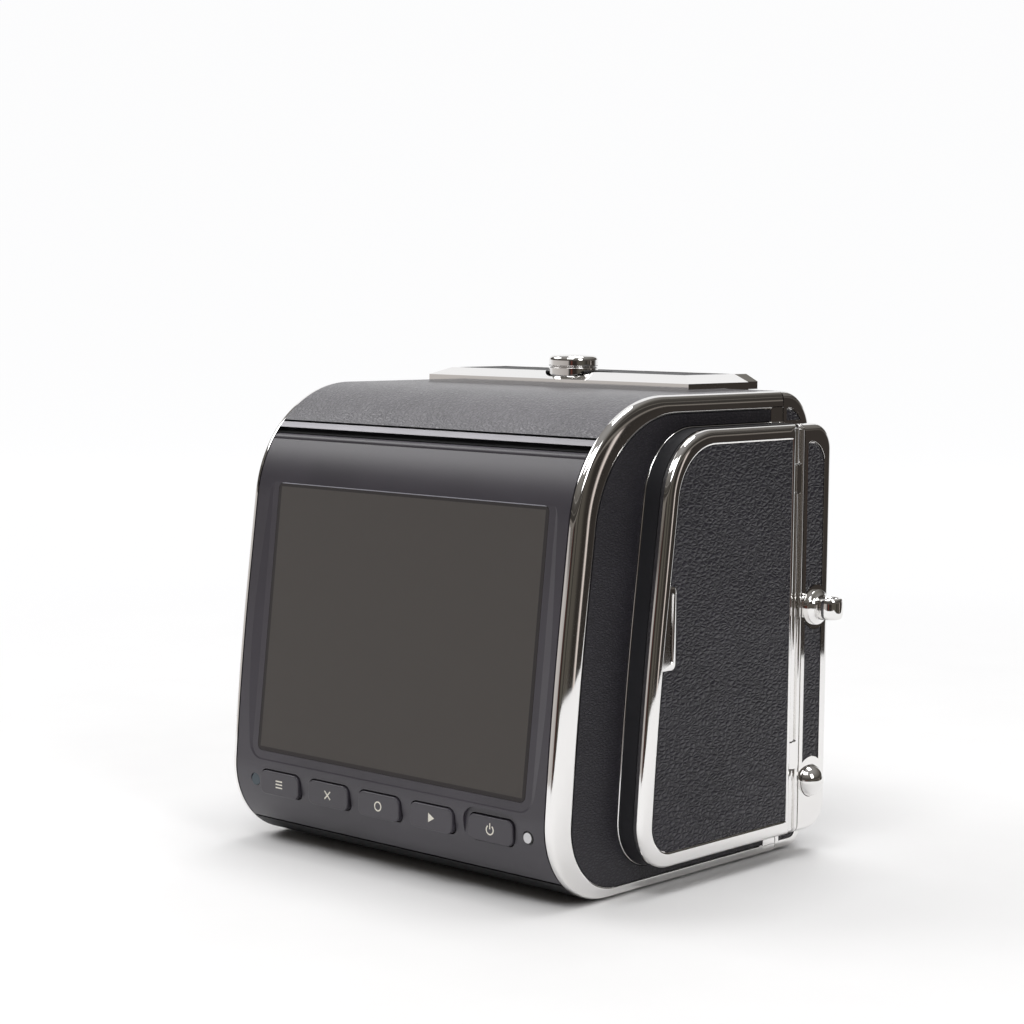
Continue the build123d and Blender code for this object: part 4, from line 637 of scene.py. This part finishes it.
# Signs printed on the five keys: three lines, a cross, a ring, a triangle and the sign
# for power, in cream ink that lies a hair above each key's face.
key_z, key_face, power_face = 12.6, -42.0, -41.55
ink_lift, ink_step = 0.012, 0.003


def bar_patch(length, width, turn=0.0, lift=0.0):
    """Straight stroke about the key's middle, as a grid of two by two points in X and Z."""
    half = length / 2
    flat = np.array([[(-half, -width / 2 + lift), (-half, width / 2 + lift)],
                     [(half, -width / 2 + lift), (half, width / 2 + lift)]])
    spin = np.array([[np.cos(turn), np.sin(turn)], [-np.sin(turn), np.cos(turn)]])
    return flat @ spin


def arc_patch(inner, outer, first, last, steps=33):
    """Curved stroke between two radii: (r cos t, r sin t)."""
    turn = np.radians(np.linspace(last, first, steps))[:, None]
    radius = np.array([inner, outer])
    return np.stack([radius * np.cos(turn), radius * np.sin(turn)], axis=2)


ink = coated("cream ink", (0.80, 0.77, 0.68), 0.5)
cross = [bar_patch(2.1, 0.27, turn) for turn in (np.pi / 4, -np.pi / 4)]
triangle = np.array([[(-0.55, -0.85), (-0.55, 0.85)], [(0.9, 0.0), (0.9, 0.0)]])
power_sign = [arc_patch(0.68, 0.92, 125, 415), bar_patch(1.05, 0.25, np.pi / 2) + (0, 0.65)]
signs = {
    "menu": (-26.4, key_face, [bar_patch(1.8, 0.25, lift=lift) for lift in (-0.6, 0.0, 0.6)]),
    "cancel": (-13.35, key_face, cross),
    "select": (-0.3, key_face, [arc_patch(0.66, 0.91, 0, 360)]),
    "playback": (12.75, key_face, [triangle]),
    "power": (26.4, power_face, power_sign),
}
for key, (key_x, face_y, strokes) in signs.items():
    grids = [np.stack([flat[..., 0] + key_x, 0 * flat[..., 0] + face_y - ink_lift - ink_step * number,
                       flat[..., 1] + key_z], axis=2) for number, flat in enumerate(strokes)]
    sign = sheets(key + "_sign", grids)
    sign.data.materials.append(ink)
    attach(sign, key + "_key")


# The studio: a narrow sweep of white paper that runs away from the person who looks and
# turns up behind the camera, with four soft lamps above it. Sizes are in metres.
away = np.array([-np.sin(view_turn), np.cos(view_turn)])
aside_way = np.array([np.cos(view_turn), np.sin(view_turn)])
white, black = (0.975, 0.975, 0.98), (0, 0, 0)
paper_fibre_scale = 30.0
lamp_aim = Vector((0, 0, 0.04))


def sweep_paper(front, flat_end, bend, top, near_half, far_half):
    """Sheet swept away from the viewer: level, then a quarter circle, then upright, wider behind."""
    turn = np.linspace(0, np.pi / 2, 25)[1:]
    run = np.concatenate([np.linspace(front, flat_end, 12), flat_end + bend * np.sin(turn),
                          [flat_end + bend]])
    lift = np.concatenate([np.zeros(12), bend * (1 - np.cos(turn)), [top]])
    half = near_half + (far_half - near_half) * np.clip(run / flat_end, 0, 1)
    across = np.array([-1, 0, 1])
    spot = run[:, None, None] * away + half[:, None, None] * across[None, :, None] * aside_way
    return np.concatenate([spot, np.broadcast_to(lift[:, None, None], (len(run), 3, 1))], axis=2) / mm


def soft_lamp(name, place, size, watts):
    """Lamp with a soft, oblong face that looks at the middle of the camera."""
    made = bpy.data.lights.new(name, "AREA")
    made.shape, made.size, made.size_y, made.energy = "RECTANGLE", *size, watts
    lamp = bpy.data.objects.new(name, made)
    bpy.context.collection.objects.link(lamp)
    lamp.location = place
    lamp.rotation_euler = (lamp_aim - Vector(place)).to_track_quat("-Z", "Y").to_euler()


swept_paper = sweep_paper(front=-0.30, flat_end=1.0, bend=0.7, top=3.0, near_half=0.25, far_half=1.1)
paper = sheets("paper", [swept_paper[::-1]])
paper_face, wires, place, shader = finish_of("paper", Roughness=0.9, Specular_IOR_Level=0.1,
                                             Emission_Strength=1.0)
distance = wires.node("VectorMath", {"operation": "LENGTH"}, out="Value", i0=place)
far = distance.ramp((0.08, (0, 0, 0)), (0.42, (1, 1, 1)))
fibres = place.noise(paper_fibre_scale, 3.0).ramp((0.3, (0.86, 0.86, 0.865)),
                                                  (0.7, (0.88, 0.88, 0.885)))
feed(wires, shader, Base_Color=far.between(fibres, black), Emission_Color=far.between(black, white))
paper.data.materials.append(paper_face)
soft_lamp("lamp over", (0.02, 0.20, 1.10), (0.60, 0.40), 5.3)
soft_lamp("lamp behind the viewer", (0.25, -0.60, 0.95), (0.50, 0.35), 3.4)
soft_lamp("lamp left", (-0.80, -0.38, 0.85), (0.70, 0.50), 4.1)
soft_lamp("lamp right", (1.10, -0.25, 0.75), (0.40, 0.60), 3.6)


# The room, by the angle round from the backdrop: a pale wall on the left, darkness with
# a red and an olive streak at the viewer, a bright slit and darkness on the right. Above
# the walls hangs a ceiling that gets lighter towards its middle.
brown, red = (0.030, 0.024, 0.021), (0.12, 0.04, 0.03)
dusk, night = (0.030, 0.026, 0.024), (0.030, 0.026, 0.023)
backdrop, slit, olive = (0.97, 0.97, 0.98), (0.90, 0.80, 0.74), (0.085, 0.076, 0.064)
beam, gap_between = (0.20, 0.18, 0.16), (0.04, 0.036, 0.032)
world = bpy.data.worlds.new("room")
bpy.context.scene.world = world
world.use_nodes = True
room = Wire(world.node_tree)
facing = room.node("TexCoord", out="Generated")
ahead, sideward = (room.node("VectorMath", {"operation": "DOT_PRODUCT"}, out="Value", i0=facing,
                             i1=(*way, 0)) for way in (away, aside_way))
height = room.node("SeparateXYZ", out="Z", Vector=facing)
turn = room.math("ARCTAN2", sideward, ahead) * (0.5 / np.pi) + 0.5
walls = turn.ramp(
    (0.0, brown), (0.015, brown), (0.022, red), (0.034, red), (0.042, dusk), (0.055, dusk),
    (0.075, (0.44, 0.41, 0.39)), (0.30, (0.60, 0.57, 0.55)), (0.38, backdrop), (0.62, backdrop),
    (0.68, (0.050, 0.044, 0.038)), (0.715, (0.040, 0.034, 0.030)), (0.750, night), (0.752, slit),
    (0.757, slit), (0.759, (0.035, 0.030, 0.026)), (0.775, night), (0.785, olive), (0.81, olive),
    (0.825, night), (0.87, (0.09, 0.083, 0.068)), (0.94, (0.10, 0.090, 0.076)), (0.97, brown))
ceiling = height.ramp(
    (0.11, gap_between), (0.13, beam), (0.145, beam), (0.16, gap_between), (0.22, (0.045, 0.04, 0.036)),
    (0.235, (0.14, 0.13, 0.115)), (0.25, (0.05, 0.045, 0.04)), (0.37, (0.09, 0.083, 0.075)),
    (0.385, (0.30, 0.285, 0.265)), (0.40, (0.12, 0.11, 0.10)), (0.60, (0.20, 0.19, 0.175)),
    (0.75, (0.26, 0.25, 0.24)), (1.0, (0.32, 0.31, 0.30)))
overhead = height.ramp((0.10, (0, 0, 0)), (0.12, (1, 1, 1)))
look = overhead.between(walls, ceiling)
seen = room.node("LightPath", out="Is Camera Ray").between(look, white)
room.tree.links.new(seen.socket, room.tree.nodes["Background"].inputs["Color"])
room.tree.nodes["Background"].inputs["Strength"].default_value = 1.0
bpy.context.scene.view_settings.view_transform = "Standard"
